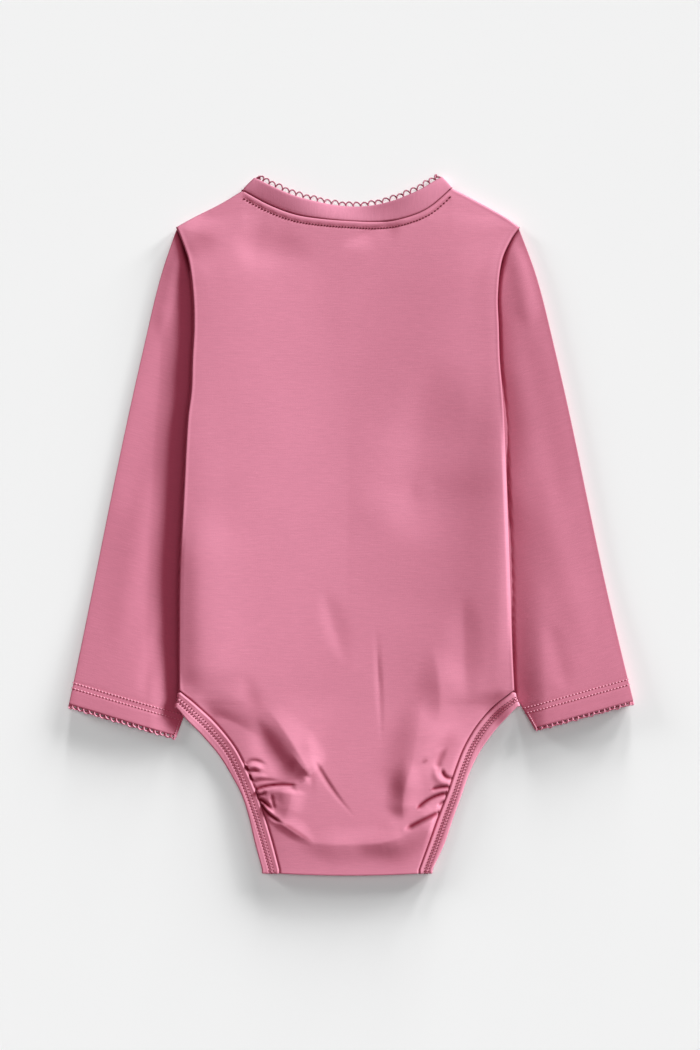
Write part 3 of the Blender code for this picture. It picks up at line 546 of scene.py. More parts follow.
@dataclass(frozen=True)
class Layers:
    """Heights of the garment's layers above the surface that it lies on."""

    wall: float = 1.2
    hollow_edge: float = 0.8
    hollow_rise: float = 1.6
    hollow_reach: float = 13.0
    hollow_least: float = -0.6
    hollow_most: float = 7.0
    clear: Pair = (3.0, 2.4)
    tilt: Pair = (0.1, 0.06)
    tilt_round: float = 16.0
    shoulder_fall: float = 0.5
    shoulder_zone: Pair = (150.0, 188.0)
    sleeve_ramp: float = 18.0
    bridge: float = 60.0
    bridge_zone: Pair = (1.0, 24.0)
    crotch_zone: Pair = (-104.0, -188.0)
    foot_flat: float = 0.55
    foot_zone: Pair = (-196.0, -216.0)
    flap_raise: float = 1.1
    flap_zone: Pair = (-150.0, -168.0)
    flap_end_y: float = -200.0
    flap_foot_y: float = -199.7
    tab_layer: float = 1.2
    tab_half: float = 43.0
    tab_zone: Pair = (-212.0, -203.0)
    fold_y: float = -216.8
    fold_low: float = 0.4
    fold_steps: int = 9

    def lift(self, x: Array, y: Array, more: Array | float = 0.0) -> Array:
        """Height to which the body rises over the sleeves tucked under it.

        Args:
            x: Places across.
            y: Places along.
            more: How much longer the ramps are than the sleeves' own.

        Returns:
            Heights in the form of x.
        """
        heights = []
        for side, clear, tilt in zip(Side, self.clear, self.tilt):
            inside = side.value * (read(TUCK_EDGE, "y", side.word, y) - x)
            over = 0.5 * (np.sqrt(inside * inside + self.tilt_round**2) - inside)
            heights.append((clear + tilt * over) * (1.0 - ease(0.0, self.sleeve_ramp + more, inside)))
        return (1.0 - self.shoulder_fall * ease(*self.shoulder_zone, y)) * np.maximum(*heights)

    def underside(self, x: Array, y: Array) -> Array:
        """Height of the front's lower side."""
        return self.lift(x, y) + self.flap_raise * ease(*self.flap_zone, y)

    def back(self, x: Array, y: Array, edge: Array, relief: Array | float = 0.0) -> Array:
        """Height of the back's outer side.

        Args:
            x: Places across.
            y: Places along.
            edge: Distance from the nearest sewn or folded edge.
            relief: Height of the folds there.

        Returns:
            Heights in the form of x.
        """
        swell = self.hollow_rise * (1.0 - np.exp(-edge / self.hollow_reach))
        swell = swell * (1.0 - self.foot_flat * ease(*self.foot_zone, y))
        hollow = np.clip(self.hollow_edge + swell + relief, self.hollow_least, self.hollow_most)
        crotch = (self.flap_raise + self.tab_layer) * ease(*self.crotch_zone, y)
        lifted = self.lift(x, y, self.bridge * ease(*self.bridge_zone, edge))
        return lifted + crotch + hollow + 2.0 * self.wall

    def round_fold(self, start: Array, part: float) -> Array:
        """Row of points turned round the bottom fold from a row at its upper end.

        Args:
            start: Points at the upper end.
            part: How far round, from 0 at the top to 1 underneath.

        Returns:
            Points in the form of start.
        """
        angle = math.pi * part
        middle = 0.5 * (start[..., 2] + self.fold_low)
        half = 0.5 * (start[..., 2] - self.fold_low)
        depth = LEG_FOOT_Y - self.fold_y
        y = start[..., 1] - depth * math.sin(angle)
        return np.stack([start[..., 0], y, middle + half * math.cos(angle)], axis=-1)

    def fold_rows(self, start: Array) -> list[Array]:
        """Rows of points all the way round the bottom fold."""
        return [self.round_fold(start, step / self.fold_steps) for step in range(1, self.fold_steps + 1)]

    def tab(self, y: Array) -> Array:
        """Height of the turned tab's outer side."""
        over = self.flap_raise + self.tab_layer
        return self.fold_low + (over - self.fold_low) * ease(*self.tab_zone, y)


def unit(ways: Array) -> Array:
    """The same directions with a length of 1."""
    return ways / np.maximum(np.linalg.norm(ways, axis=-1, keepdims=True), TINY)


def onward(points: Array, axis: int, closed: bool) -> Array:
    """Way onward at each point along an axis, round a ring or with ends."""
    if closed:
        return np.roll(points, -1, axis=axis) - np.roll(points, 1, axis=axis)
    return np.gradient(points, axis=axis)


def join_normals(grid: Array, closed_rows: bool = False, closed_columns: bool = False) -> Array:
    """Unit normals of a grid of points.

    Args:
        grid: Points by row and column.
        closed_rows: Whether the last row meets the first.
        closed_columns: Whether the last column meets the first.

    Returns:
        Normals by row and column, the cross product of the ways along rows and columns.
    """
    return unit(np.cross(onward(grid, 0, closed_rows), onward(grid, 1, closed_columns)))


def thread_axes(paths: Array, ups: Array, closed: bool) -> tuple[Array, Array]:
    """Directions across threads.

    Args:
        paths: Points, the last axis but one along the threads.
        ups: Rough direction off the cloth at each point.
        closed: Whether each thread is a ring.

    Returns:
        Unit directions sideways and upwards at each point.
    """
    ahead = unit(onward(paths, -2, closed))
    sideways = unit(np.cross(ahead, ups))
    return sideways, np.cross(sideways, ahead)


def to_frame(points: Array) -> Array:
    """Drawing points in metres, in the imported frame."""
    return (points - np.array([ORIGIN_X, ORIGIN_Y, 0.0])) * MM


def make_object(name: str, points: Array, faces: list[tuple[int, ...]]) -> bpy.types.Object:
    """Mesh object with its place in its mesh.

    Args:
        name: Name of the piece.
        points: Drawing points, one row each.
        faces: Corners of each face.

    Returns:
        The new object, smooth shaded, in the scene.
    """
    mesh = bpy.data.meshes.new(name)
    mesh.from_pydata(to_frame(points).tolist(), [], faces)
    mesh.validate()
    mesh.shade_smooth()
    item = bpy.data.objects.new(name, mesh)
    bpy.context.scene.collection.objects.link(item)
    return item


@dataclass
class Cloth:
    """One cut of cloth as a grid of points on its outer side, with a wall on its inner side."""

    name: str
    grid: Array
    wall: float
    closed_rows: bool = False
    closed_columns: bool = False
    flip: bool = False
    # Painted shade at each grid point, from 0 to 1, written to the painted-shade layer.
    depth: Array | None = None
    thinnest: float = 0.05
    least_upward: float = 1e-3

    def faces(self) -> list[tuple[int, ...]]:
        """Corners of the grid's faces, turned outwards."""
        rows, columns = self.grid.shape[:2]
        index = np.arange(rows * columns).reshape(rows, columns)
        below = np.roll(index, -1, axis=0)
        after = np.roll(index, -1, axis=1)
        both = np.roll(below, -1, axis=1)
        row_end = rows if self.closed_rows else rows - 1
        column_end = columns if self.closed_columns else columns - 1
        corners = np.stack([index, below, both, after], axis=-1)[:row_end, :column_end]
        if self.flip:
            corners = corners[..., ::-1]
        return [tuple(face) for face in corners.reshape(-1, 4).tolist()]

    def build(self) -> bpy.types.Object:
        """Make the cloth's object."""
        item = make_object(self.name, self.grid.reshape(-1, 3), self.faces())
        # The painted shade goes on the mesh as a layer that the knit's colour reads.
        if self.depth is not None:
            layer = item.data.attributes.new(PAINTED_SHADE_LAYER, "FLOAT", "POINT")
            layer.data.foreach_set("value", np.clip(self.depth, 0.0, 1.0).astype(np.float32).ravel())
        solidify = item.modifiers.new("wall", "SOLIDIFY")
        solidify.thickness = self.wall * MM
        solidify.offset = -1.0
        solidify.vertex_group = self.thinned(item)
        return item

    def thinned(self, item: bpy.types.Object) -> str:
        """Vertex group that thins the wall where it would reach below the floor.

        Args:
            item: The cloth's object.

        Returns:
            The group's name.
        """
        upward = self.outward()[..., 2]
        room = self.grid[..., 2] / (self.wall * np.maximum(upward, self.least_upward))
        part = np.where(upward > 0.0, np.clip(room, self.thinnest, 1.0), 1.0).ravel()
        group = item.vertex_groups.new(name="wall")
        group.add(np.flatnonzero(part == 1.0).tolist(), 1.0, "REPLACE")
        for index in np.flatnonzero(part < 1.0).tolist():
            group.add([index], float(part[index]), "REPLACE")
        return group.name

    def area(self) -> float:
        """Area of the outer side in square metres."""
        grid = self.grid * MM
        if self.closed_rows:
            grid = np.concatenate([grid, grid[:1]], axis=0)
        if self.closed_columns:
            grid = np.concatenate([grid, grid[:, :1]], axis=1)
        across = grid[1:, 1:] - grid[:-1, :-1]
        other = grid[1:, :-1] - grid[:-1, 1:]
        return float(0.5 * np.linalg.norm(np.cross(across, other), axis=-1).sum())

    def outward(self) -> Array:
        """Unit normals at the grid's points, away from the wall."""
        normals = join_normals(self.grid, self.closed_rows, self.closed_columns)
        return -normals if self.flip else normals

    def at(self, row: Array, col: Array) -> tuple[Array, Array]:
        """Points on the outer side.

        Args:
            row: Places along the rows, as numbers between the grid's rows.
            col: Places across, as numbers between the grid's columns.

        Returns:
            The points and the outward normals there.
        """
        low_row, next_row, part_row = self.between(row, self.grid.shape[0], self.closed_rows)
        low_col, next_col, part_col = self.between(col, self.grid.shape[1], self.closed_columns)
        found = []
        for values in (self.grid, self.outward()):
            upper = (1 - part_col) * values[low_row, low_col] + part_col * values[low_row, next_col]
            lower = (1 - part_col) * values[next_row, low_col] + part_col * values[next_row, next_col]
            found.append((1 - part_row) * upper + part_row * lower)
        return found[0], unit(found[1])

    @staticmethod
    def between(place: Array, count: int, closed: bool) -> tuple[Array, Array, Array]:
        """Grid lines on both sides of places.

        Args:
            place: Places, as numbers between the lines.
            count: Number of lines.
            closed: Whether the last line meets the first.

        Returns:
            The line before, the line after and the part of the way between them.
        """
        low = np.floor(place).astype(int)
        part = (place - low)[..., None]
        if closed:
            return low % count, (low + 1) % count, part
        low = np.clip(low, 0, count - 1)
        return low, np.clip(low + 1, 0, count - 1), part


def spread(points: Array, pitch: float, closed: bool = False) -> Array:
    """Places at even steps along a line of points.

    Args:
        points: The line.
        pitch: Wanted distance between places.
        closed: Whether the line is a ring.

    Returns:
        Places as numbers between the points, one for each step.
    """
    line = np.concatenate([points, points[:1]], axis=0) if closed else points
    lengths = np.concatenate([[0.0], np.cumsum(np.linalg.norm(np.diff(line, axis=0), axis=1))])
    count = max(1, round(lengths[-1] / pitch))
    targets = lengths[-1] * np.arange(count) / count
    return np.interp(targets, lengths, np.arange(len(line), dtype=float))


def stitch_places(halves: Array, overlap: float) -> tuple[Array, Array]:
    """Where stitches start and end.

    Args:
        halves: Places at half the stitches' pitch.
        overlap: Length of a stitch as a part of half the pitch.

    Returns:
        Start and end of each stitch.
    """
    count = len(halves) // 2 * 2
    start = halves[:count:2]
    return start, start + overlap * (halves[1:count:2] - start)


class StitchForm(NamedTuple):
    """Form of a stitch at parts of its length, its rise and width in radii of the thread."""

    parts: tuple[float, ...]
    rise: tuple[float, ...]
    width: tuple[float, ...]

    def line(self, start: Array, end: Array) -> Array:
        """Values along each stitch between those at its ends."""
        return start[:, None] + np.array(self.parts) * (end - start)[:, None]


HEM_STITCH = StitchForm((0.0, 0.18, 0.5, 0.82, 1.0), (-0.6, 0.5, 0.9, 0.5, -0.6), (0.55, 1.0, 1.0, 1.0, 0.55))
NECK_STITCH = StitchForm((0.0, 0.2, 0.5, 0.8, 1.0), (-0.5, 0.4, 0.8, 0.4, -0.5), (0.6, 1.0, 1.0, 1.0, 0.6))


@dataclass
class Threads:
    """Many threads joined as one mesh."""

    name: str
    sides: int = 5
    lowest: float = -0.3
    points: list[Array] = field(default_factory=list)
    faces: list[tuple[int, ...]] = field(default_factory=list)
    used: int = 0

    def add(self, paths: Array, ups: Array, radii: Array, closed: bool = False) -> None:
        """Add tubes along paths of equal length.

        Args:
            paths: Points by tube and step.
            ups: Direction off the cloth by tube and step.
            radii: Radius at each step.
            closed: Whether each tube is a ring, and otherwise it has round ends.
        """
        tubes, count = paths.shape[:2]
        sideways, upwards = thread_axes(paths, ups, closed)
        angle = FULL_TURN * np.arange(self.sides) / self.sides
        ring = (
            np.cos(angle)[:, None] * sideways[:, :, None, :]
            + np.sin(angle)[:, None] * upwards[:, :, None, :]
        )
        points = paths[:, :, None, :] + ring * np.asarray(radii)[None, :, None, None]
        low = points[..., 2].min(axis=(1, 2))
        points[..., 2] += np.maximum(self.lowest - low, 0.0)[:, None, None]
        self.points.append(points.reshape(-1, 3))
        index = self.used + np.arange(tubes * count * self.sides).reshape(tubes, count, self.sides)
        along = np.roll(index, -1, axis=1)
        around = np.roll(index, -1, axis=2)
        both = np.roll(along, -1, axis=2)
        quads = np.stack([index, around, both, along], axis=-1)
        if not closed:
            quads = quads[:, :-1]
            self.faces += [tuple(face) for face in index[:, 0, ::-1].tolist()]
            self.faces += [tuple(face) for face in index[:, -1].tolist()]
        self.faces += [tuple(face) for face in quads.reshape(-1, 4).tolist()]
        self.used += tubes * count * self.sides

    def stitches(
        self, cloth: Cloth, start: tuple[Array, Array], end: tuple[Array, Array], radius: float
    ) -> None:
        """Add one short stitch for each pair of places on a cloth.

        Args:
            cloth: The sewn cloth.
            start: Row and column places where the stitches come up.
            end: Row and column places where they go down.
            radius: Radius of the thread.
        """
        form = HEM_STITCH
        points, ways = cloth.at(form.line(start[0], end[0]), form.line(start[1], end[1]))
        rise = np.array(form.rise) * radius
        self.add(points + ways * rise[:, None], ways, radius * np.array(form.width))

    def build(self) -> bpy.types.Object:
        """Make the threads' object."""
        return make_object(self.name, np.concatenate(self.points, axis=0), self.faces)


def top_line(x: Array) -> Array:
    """Top edge of the body over places across: shoulder, back neck seam, shoulder."""
    left = read(SHOULDER[Side.LEFT], "x", "y", x)
    right = read(SHOULDER[Side.RIGHT], "x", "y", x)
    neck = read(BACK_NECK, "x", "y", x)
    return np.where(x < BACK_NECK[0].x, left, np.where(x > BACK_NECK[-1].x, right, neck))


def top_slope(x: Array) -> Array:
    """How fast the top edge of the body rises over places across."""
    return top_line(x + 0.5) - top_line(x - 0.5)


def body_side(table: dict[Side, tuple[LegRow, ...]], side: Side, side_y: Array) -> Array:
    """Edge of the body at heights: side fold above, leg seam below."""
    fold = read(BODY_EDGE, "y", side.word, side_y)
    seam = read(table[side], "seam_y", "seam_x", side_y)
    return np.where(side_y > LEG_TOP_Y, fold, seam)


def shadow(distance: Array, width: float) -> Array:
    """Straight fall from 1 at an edge to 0 from width inwards."""
    return np.clip(1.0 - distance / width, 0.0, 1.0)


def quarter(distance: Array, width: float) -> Array:
    """Drop of a rounded edge, 1 at the edge and 0 from width inwards."""
    part = shadow(distance, width)
    return 1.0 - np.sqrt(1.0 - part * part)


@dataclass
class Sewn:
    """What a sewn part holds once it is built: its cloth and its pieces."""

    cloth: Cloth = field(init=False)
    piece: bpy.types.Object = field(init=False)
    sewing: bpy.types.Object = field(init=False)
    edging: bpy.types.Object = field(init=False)


@dataclass
class BackPanel(Sewn):
    """Back of the body, from the shoulders down and round into the crotch tab."""

    layers: Layers
    dye: "Finish"
    wall: float = 0.8
    fine: float = 0.55
    coarse: float = 1.5
    edge_zone: float = 4.5
    top_zone: float = 6.0
    seat_y: float = -84.0
    body_rows: float = 2.6
    seat_rows: float = 1.4
    leg_rows: float = 0.8
    tab_rows: tuple[float, ...] = (
        -211.0, -208.0, -205.5, -203.0, -199.0, -194.0, -189.0, -184.0, -179.0, -174.0,
    )
    shoulder_lean: float = 0.87
    slope_reach: float = 9.0
    fold_fade: float = 3.0
    gather_fade: Pair = (-0.6, 1.2)
    roll: float = 1.6
    roll_width: float = 0.6
    rim: float = 0.16
    rim_line: Pair = (1.2, 0.7)
    side_raise: float = 0.7
    side_zone: Pair = (182.0, 150.0)
    left_raise: float = -0.5
    left_zone: Pair = (70.0, 10.0)
    side_reach: float = 10.0
    seam_drop: float = 0.6
    seam_width: float = 0.75
    foot_sag: float = 1.2
    sag_y: float = -150.0
    # Painted shade along the side edges and leg seams, just under the neck seam and along its stitch line.
    edge_painted_shade: float = 0.8
    edge_dark: float = 0.75
    edge_fade: Pair = (LEG_TOP_Y - 4.0, LEG_TOP_Y + 2.0)
    neck_dark: float = 0.55
    stitch_shade: float = 0.32
    stitch_dark: float = 0.8
    lip: float = 0.3
    lip_line: float = 1.5
    lip_width: float = 1.3
    lip_drop: float = 0.75
    lip_tuck: float = 0.6
    lip_fade: Pair = (0.5, -3.0)
    corner_fade: Pair = (0.0, -1.5)
    pucker: float = 0.09
    pucker_turn: float = 3.4
    pucker_width: float = 1.6
    stitch_line: float = 4.0
    stitch_groove: float = 0.3
    groove_width: float = 0.75
    stitch_pitch: float = 1.85
    stitch_radius: float = 0.5
    stitch_ends: Pair = (0.6, 0.8)
    stitch_parts: Pair = (0.2, 0.72)

    def columns(self) -> Array:
        """Places across as parts of the half width, finer at the sides and on the neck's corners."""
        half = 0.5 * (BODY_EDGE[0].right - BODY_EDGE[0].left)
        middle = 0.5 * (BODY_EDGE[0].right + BODY_EDGE[0].left)
        zone = self.edge_zone / half
        left = (BACK_NECK[0].x - middle) / half
        right = (BACK_NECK[-1].x - middle) / half
        places = steps(-1.0, -1.0 + zone, self.fine / half)
        for start, end in ((-1.0 + zone, left), (left, right), (right, 1.0 - zone)):
            places += steps(start, end, self.coarse / half)
        return np.array(places + steps(1.0 - zone, 1.0, self.fine / half) + [1.0])

    def side_heights(self) -> Array:
        """Heights of the rows at the side edge, from the shoulder tip to the bottom fold."""
        drawn = (SHOULDER_TIP_Y - YOKE_Y) / (BACK_NECK[len(BACK_NECK) // 2].y - YOKE_Y)
        mark = SHOULDER_TIP_Y - self.top_zone * drawn
        places = steps(SHOULDER_TIP_Y, mark, self.fine * drawn)
        places += steps(mark, YOKE_Y, self.coarse)
        places += steps(YOKE_Y, self.seat_y, self.body_rows)
        places += steps(self.seat_y, LEG_TOP_Y, self.seat_rows)
        places += steps(LEG_TOP_Y, LEG_FOOT_Y, self.leg_rows)
        return np.array(places + [LEG_FOOT_Y])

    def height(self, x: Array, y: Array, left: Array, right: Array) -> Array:
        """Height of the outer side with its folds and seams.

        Args:
            x: Places across.
            y: Places along.
            left: Left edge of the body beside each place.
            right: Right edge of the body beside each place.

        Returns:
            Heights in the form of x.
        """
        slope = np.where(x < 0.0, *(self.edge_slope(side, y) for side in Side))
        side_gap = np.minimum(x - left, right - x) / np.sqrt(1.0 + slope * slope)
        line = top_line(x)
        off_neck = np.maximum(BACK_NECK[0].x - x, x - BACK_NECK[-1].x)
        corner_y = np.where(x < 0.0, BACK_NECK[0].y, BACK_NECK[-1].y)
        shoulder_gap = np.where(
            off_neck > 0.0,
            np.maximum(0.0, line - y) * self.shoulder_lean,
            np.hypot(np.minimum(off_neck, 0.0), np.maximum(0.0, corner_y - y) * self.shoulder_lean),
        )
        edge = np.maximum(0.0, np.minimum(side_gap, np.where(y > YOKE_Y, shoulder_gap, side_gap)))
        swells = Creases(BACK_SWELLS + SEAT_FOLDS).relief(x, y) * ease(0.0, self.fold_fade, edge)
        gathers = Creases(LEG_GATHERS).relief(x, y) * ease(*self.gather_fade, edge)
        z = self.layers.back(x, y, edge, swells + gathers)
        above = ease(*LEG_CORNER, y)
        left_raise = self.left_raise * ease(*self.left_zone, y)
        puffed = np.where(x < 0.0, left_raise, self.side_raise * ease(*self.side_zone, y)) * above
        z = z + puffed * bump(edge, 0.0, self.side_reach)
        z = z - (self.roll + puffed) * quarter(edge, self.roll_width) * above
        z = z + above * self.rim * bump(edge, *self.rim_line)
        z = z - (1.0 - above) * self.seam_drop * bump(side_gap, 0.0, self.seam_width)
        return z + self.neck_seam(x, y, line, off_neck)

    def depth(self, x: Array, y: Array, left: Array, right: Array) -> Array:
        """Painted shade in the closed folds, along the sewn edges and under the neck seam.

        Args:
            x: Places across.
            y: Places along.
            left: Left edge of the body beside each place.
            right: Right edge of the body beside each place.

        Returns:
            Amounts of painted shade from 0 to 1 in the form of x.
        """
        gap = np.minimum(x - left, right - x)
        above = ease(*self.edge_fade, y)
        leg = np.where(x < 0.0, *(read(LEG_SEAM_PAINTED_SHADE, "y", side.word, y) for side in Side))
        seam = (self.edge_painted_shade * above + (1.0 - above) * leg) * shadow(gap, self.edge_dark)
        neck = (x > BACK_NECK[0].x) & (x < BACK_NECK[-1].x) & (y > YOKE_Y)
        neck_gap = top_line(x) - y
        under_band = SEAM_SHADE * shadow(neck_gap, self.neck_dark)
        under_band = under_band + self.stitch_shade * bump(neck_gap, self.stitch_line, self.stitch_dark)
        folds = Creases(CREASE_PAINTED_SHADE).relief(x, y)
        return np.maximum(np.maximum(seam, folds), np.where(neck, under_band, 0.0))

    def edge_slope(self, side: Side, y: Array) -> Array:
        """How fast the body's edge moves across with height, evened out over its corner."""
        above = body_side(BACK_LEG, side, y + self.slope_reach)
        return (above - body_side(BACK_LEG, side, y - self.slope_reach)) / (2.0 * self.slope_reach)

    def neck_seam(self, x: Array, y: Array, line: Array, off_neck: Array) -> Array:
        """Raised lip and stitched groove along the neck seam.

        Args:
            x: Places across.
            y: Places along.
            line: Top edge over each place.
            off_neck: Distance beyond the neck's corners, negative within them.

        Returns:
            Heights to add.
        """
        slope = top_slope(x) * ease(*self.corner_fade, off_neck)
        gap = (line - y) / np.sqrt(1.0 + slope * slope)
        wavy = self.pucker * np.sin(x * self.pucker_turn) * bump(gap, self.stitch_line, self.pucker_width)
        lip = self.lip * bump(gap, self.lip_line, self.lip_width) - self.lip_drop * shadow(gap, self.lip_tuck)
        groove = self.stitch_groove * bump(gap, self.stitch_line, self.groove_width)
        return ease(*self.lip_fade, off_neck) * (lip + wavy - groove)

    def build(self) -> None:
        """Make the cloth and the stitches under the neck seam."""
        across = self.columns()[None, :]
        side_y = self.side_heights()[:, None]
        left, right = (body_side(BACK_LEG, side, side_y) for side in Side)
        x = 0.5 * (left + right) + 0.5 * across * (right - left)
        part = (side_y - YOKE_Y) / (SHOULDER_TIP_Y - YOKE_Y)
        sag = self.foot_sag * (1.0 - across**2) * ease(self.sag_y, LEG_FOOT_Y, side_y)
        tip_left, tip_right = (body_side(BACK_LEG, side, np.array(SHOULDER_TIP_Y)) for side in Side)
        top_y = top_line(0.5 * (tip_left + tip_right) + 0.5 * across * (tip_right - tip_left))
        y = np.where(part > 0.0, YOKE_Y + part * (top_y - YOKE_Y), side_y - sag)
        rows = list(np.stack([x, y, self.height(x, y, left, right)], axis=-1))
        # Painted shade for each grid point.
        shades = list(self.depth(x, y, left, right))
        top = rows[-1]
        rows += self.layers.fold_rows(top)
        tab_x = across[0] * self.layers.tab_half
        for tab_y in self.tab_rows:
            height = float(self.layers.tab(np.array(tab_y)))
            rows.append(np.stack([tab_x, np.full_like(tab_x, tab_y), np.full_like(tab_x, height)], -1))
        shades += [np.zeros(len(top))] * (len(rows) - len(shades))
        self.cloth = Cloth("back_cloth", np.array(rows), self.wall, depth=np.array(shades))
        self.piece = self.cloth.build()
        self.sewing = self.neck_stitches()

    def neck_stitches(self) -> bpy.types.Object:
        """Row of small stitches in the groove under the neck seam."""
        ends = []
        first = BACK_NECK[0].x + self.stitch_ends[0]
        places = np.arange(first, BACK_NECK[-1].x - self.stitch_ends[1], self.stitch_pitch)
        for shift in self.stitch_parts:
            x = places + shift * self.stitch_pitch
            slope = top_slope(x)
            ends.append((x, top_line(x) - self.stitch_line * np.sqrt(1.0 + slope * slope)))
        threads = Threads("neck_stitches")
        x = NECK_STITCH.line(ends[0][0], ends[1][0])
        y = NECK_STITCH.line(ends[0][1], ends[1][1])
        left, right = (body_side(BACK_LEG, side, np.full_like(x, SHOULDER_TIP_Y)) for side in Side)
        z = self.height(x, y, left, right) + np.array(NECK_STITCH.rise) * self.stitch_radius
        ups = np.broadcast_to(UP, x.shape + (3,))
        threads.add(np.stack([x, y, z], -1), ups, self.stitch_radius * np.array(NECK_STITCH.width))
        return threads.build()

    def dress(self, garment: "Garment") -> None:
        """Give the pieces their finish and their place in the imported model."""
        garment.settle(self.piece, Slot.JERSEY, self.dye, "back_panel")
        garment.settle(self.sewing, Slot.JERSEY, garment.thread)


@dataclass
class FrontPanel(Sewn):
    """Front of the body, under the back, ending in the crotch flap."""

    layers: Layers
    dye: "Finish"
    wall: float = 0.8
    spacing: float = 1.9
    nominal_half: float = 100.0
    edge_part: float = 0.03
    edge_spacing: float = 0.6
    upper_rows: int = 40
    body_rows: float = 2.4
    leg_rows: float = 1.4
    armhole_power: int = 3
    inset: float = 0.15
    fold_fade: float = 6.0
    roll: float = 0.8
    roll_width: float = 1.6
    hem: float = 9.0
    hem_drop: float = 0.25
    hem_step: float = 0.6
    hem_rows: Pair = (0.5, 3.5)
    stitch_pitch: float = 2.2
    stitch_radius: float = 0.2

    def columns(self) -> Array:
        """Places across as parts of the half width."""
        fine = self.edge_spacing / self.nominal_half
        coarse = self.spacing / self.nominal_half
        inner = 1.0 - self.edge_part
        places = steps(-1.0, -inner, fine)
        marks = (-inner, -FRONT_NECK_PART, FRONT_NECK_PART, inner)
        for start, end in zip(marks, marks[1:]):
            places += steps(start, end, coarse)
        return np.array(places + steps(inner, 1.0, fine) + [1.0])

    def top(self, across: Array) -> tuple[Array, Array]:
        """Top edge: shoulder, deep neck seam or shoulder.

        Args:
            across: Places across as parts of the half width.

        Returns:
            X and Y of the edge.
        """
        neck_part = np.clip(0.5 + 0.5 * across / FRONT_NECK_PART, 0.0, 1.0)
        x = read_evenly(FRONT_NECK, "seam_x", neck_part)
        y = read_evenly(FRONT_NECK, "seam_y", neck_part)
        part = (np.abs(across) - FRONT_NECK_PART) / (1.0 - FRONT_NECK_PART)
        for side in Side:
            line = SHOULDER[side]
            neck = min(line, key=lambda row: abs(row.x))
            tip = max(line, key=lambda row: abs(row.x))
            on_side = (part > 0.0) & (np.sign(across) == side.value)
            shoulder_x = neck.x + part * (tip.x - neck.x)
            x = np.where(on_side, shoulder_x, x)
            y = np.where(on_side, read(line, "x", "y", shoulder_x), y)
        return x, y

    def place(self, across: Array, side_y: Array) -> Array:
        """X of places across at heights."""
        left = body_side(FRONT_LEG, Side.LEFT, side_y) + self.inset
        right = body_side(FRONT_LEG, Side.RIGHT, side_y) - self.inset
        return 0.5 * (left + right) + 0.5 * across * (right - left)

    def upper(self, across: Array) -> tuple[Array, Array]:
        """Rows between the yoke line, the top and the armholes.

        Args:
            across: Places across as parts of the half width.

        Returns:
            X and Y by row and column, from the top down.
        """
        part = np.linspace(1.0, 0.0, self.upper_rows, endpoint=False)[:, None]
        side_y = FRONT_YOKE_Y + part * (SHOULDER_TIP_Y - FRONT_YOKE_Y)
        left_half = across < 0.0
        low = self.place(across, np.array(FRONT_YOKE_Y))
        top_x, top_y = self.top(across)
        tips = [self.top(np.array([side.value]))[0] for side in Side]
        feet = [body_side(FRONT_LEG, side, np.array(FRONT_YOKE_Y)) for side in Side]
        edges = [body_side(FRONT_LEG, side, side_y) for side in Side]
        tip, foot, side_x = (np.where(left_half, *pair) for pair in (tips, feet, edges))
        bend = (side_x - foot - part * (tip - foot)) * np.abs(across) ** self.armhole_power
        x = low + part * (top_x - low) + bend
        y = FRONT_YOKE_Y + part * (top_y - FRONT_YOKE_Y)
        return x, y

    def build(self) -> None:
        """Make the cloth and its hem stitches."""
        across = self.columns()[None, :]
        upper_x, upper_y = self.upper(across)
        end_y = self.layers.flap_end_y
        heights = steps(FRONT_YOKE_Y, LEG_TOP_Y, self.body_rows) + steps(LEG_TOP_Y, end_y, self.leg_rows)
        side_y = np.array(heights + [self.layers.flap_foot_y])[:, None]
        x = np.concatenate([upper_x, self.place(across, side_y)])
        y = np.concatenate([upper_y, side_y + 0.0 * across])
        edge = (1.0 - np.abs(across)) * 0.5 * (x[:, -1:] - x[:, :1])
        relief = Creases(FRONT_FOLDS).relief(x, y) * ease(0.0, self.fold_fade, edge)
        turned = self.roll * quarter(edge, self.roll_width) * ease(*LEG_CORNER, y)
        hem_y = end_y + self.hem
        hem = self.hem_drop * ease(hem_y + self.hem_step, hem_y - self.hem_step, y)
        z = self.layers.underside(x, y) + relief + turned - hem
        self.cloth = Cloth("front_cloth", np.stack([x, y, z], -1), self.wall, flip=True)
        self.piece = self.cloth.build()
        self.sewing = self.hem_stitches()

    def hem_stitches(self) -> bpy.types.Object:
        """Two rows of stitches across the flap's hem."""
        threads = Threads("flap_stitches")
        rows = self.cloth.grid[:, self.cloth.grid.shape[1] // 2, 1]
        for inside in self.hem_rows:
            row_y = self.layers.flap_end_y + self.hem - inside
            row = float(np.interp(-row_y, -rows, np.arange(len(rows))))
            line = self.cloth.grid[int(round(row))]
            col = spread(line, self.stitch_pitch)[1:-1]
            level = np.full_like(col, row)
            threads.stitches(self.cloth, (level, col), (level, col + 1.0), self.stitch_radius)
        return threads.build()

    def dress(self, garment: "Garment") -> None:
        """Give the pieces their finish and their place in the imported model."""
        garment.settle(self.piece, Slot.JERSEY, self.dye, "front_panel")
        garment.settle(self.sewing, Slot.JERSEY, garment.thread)


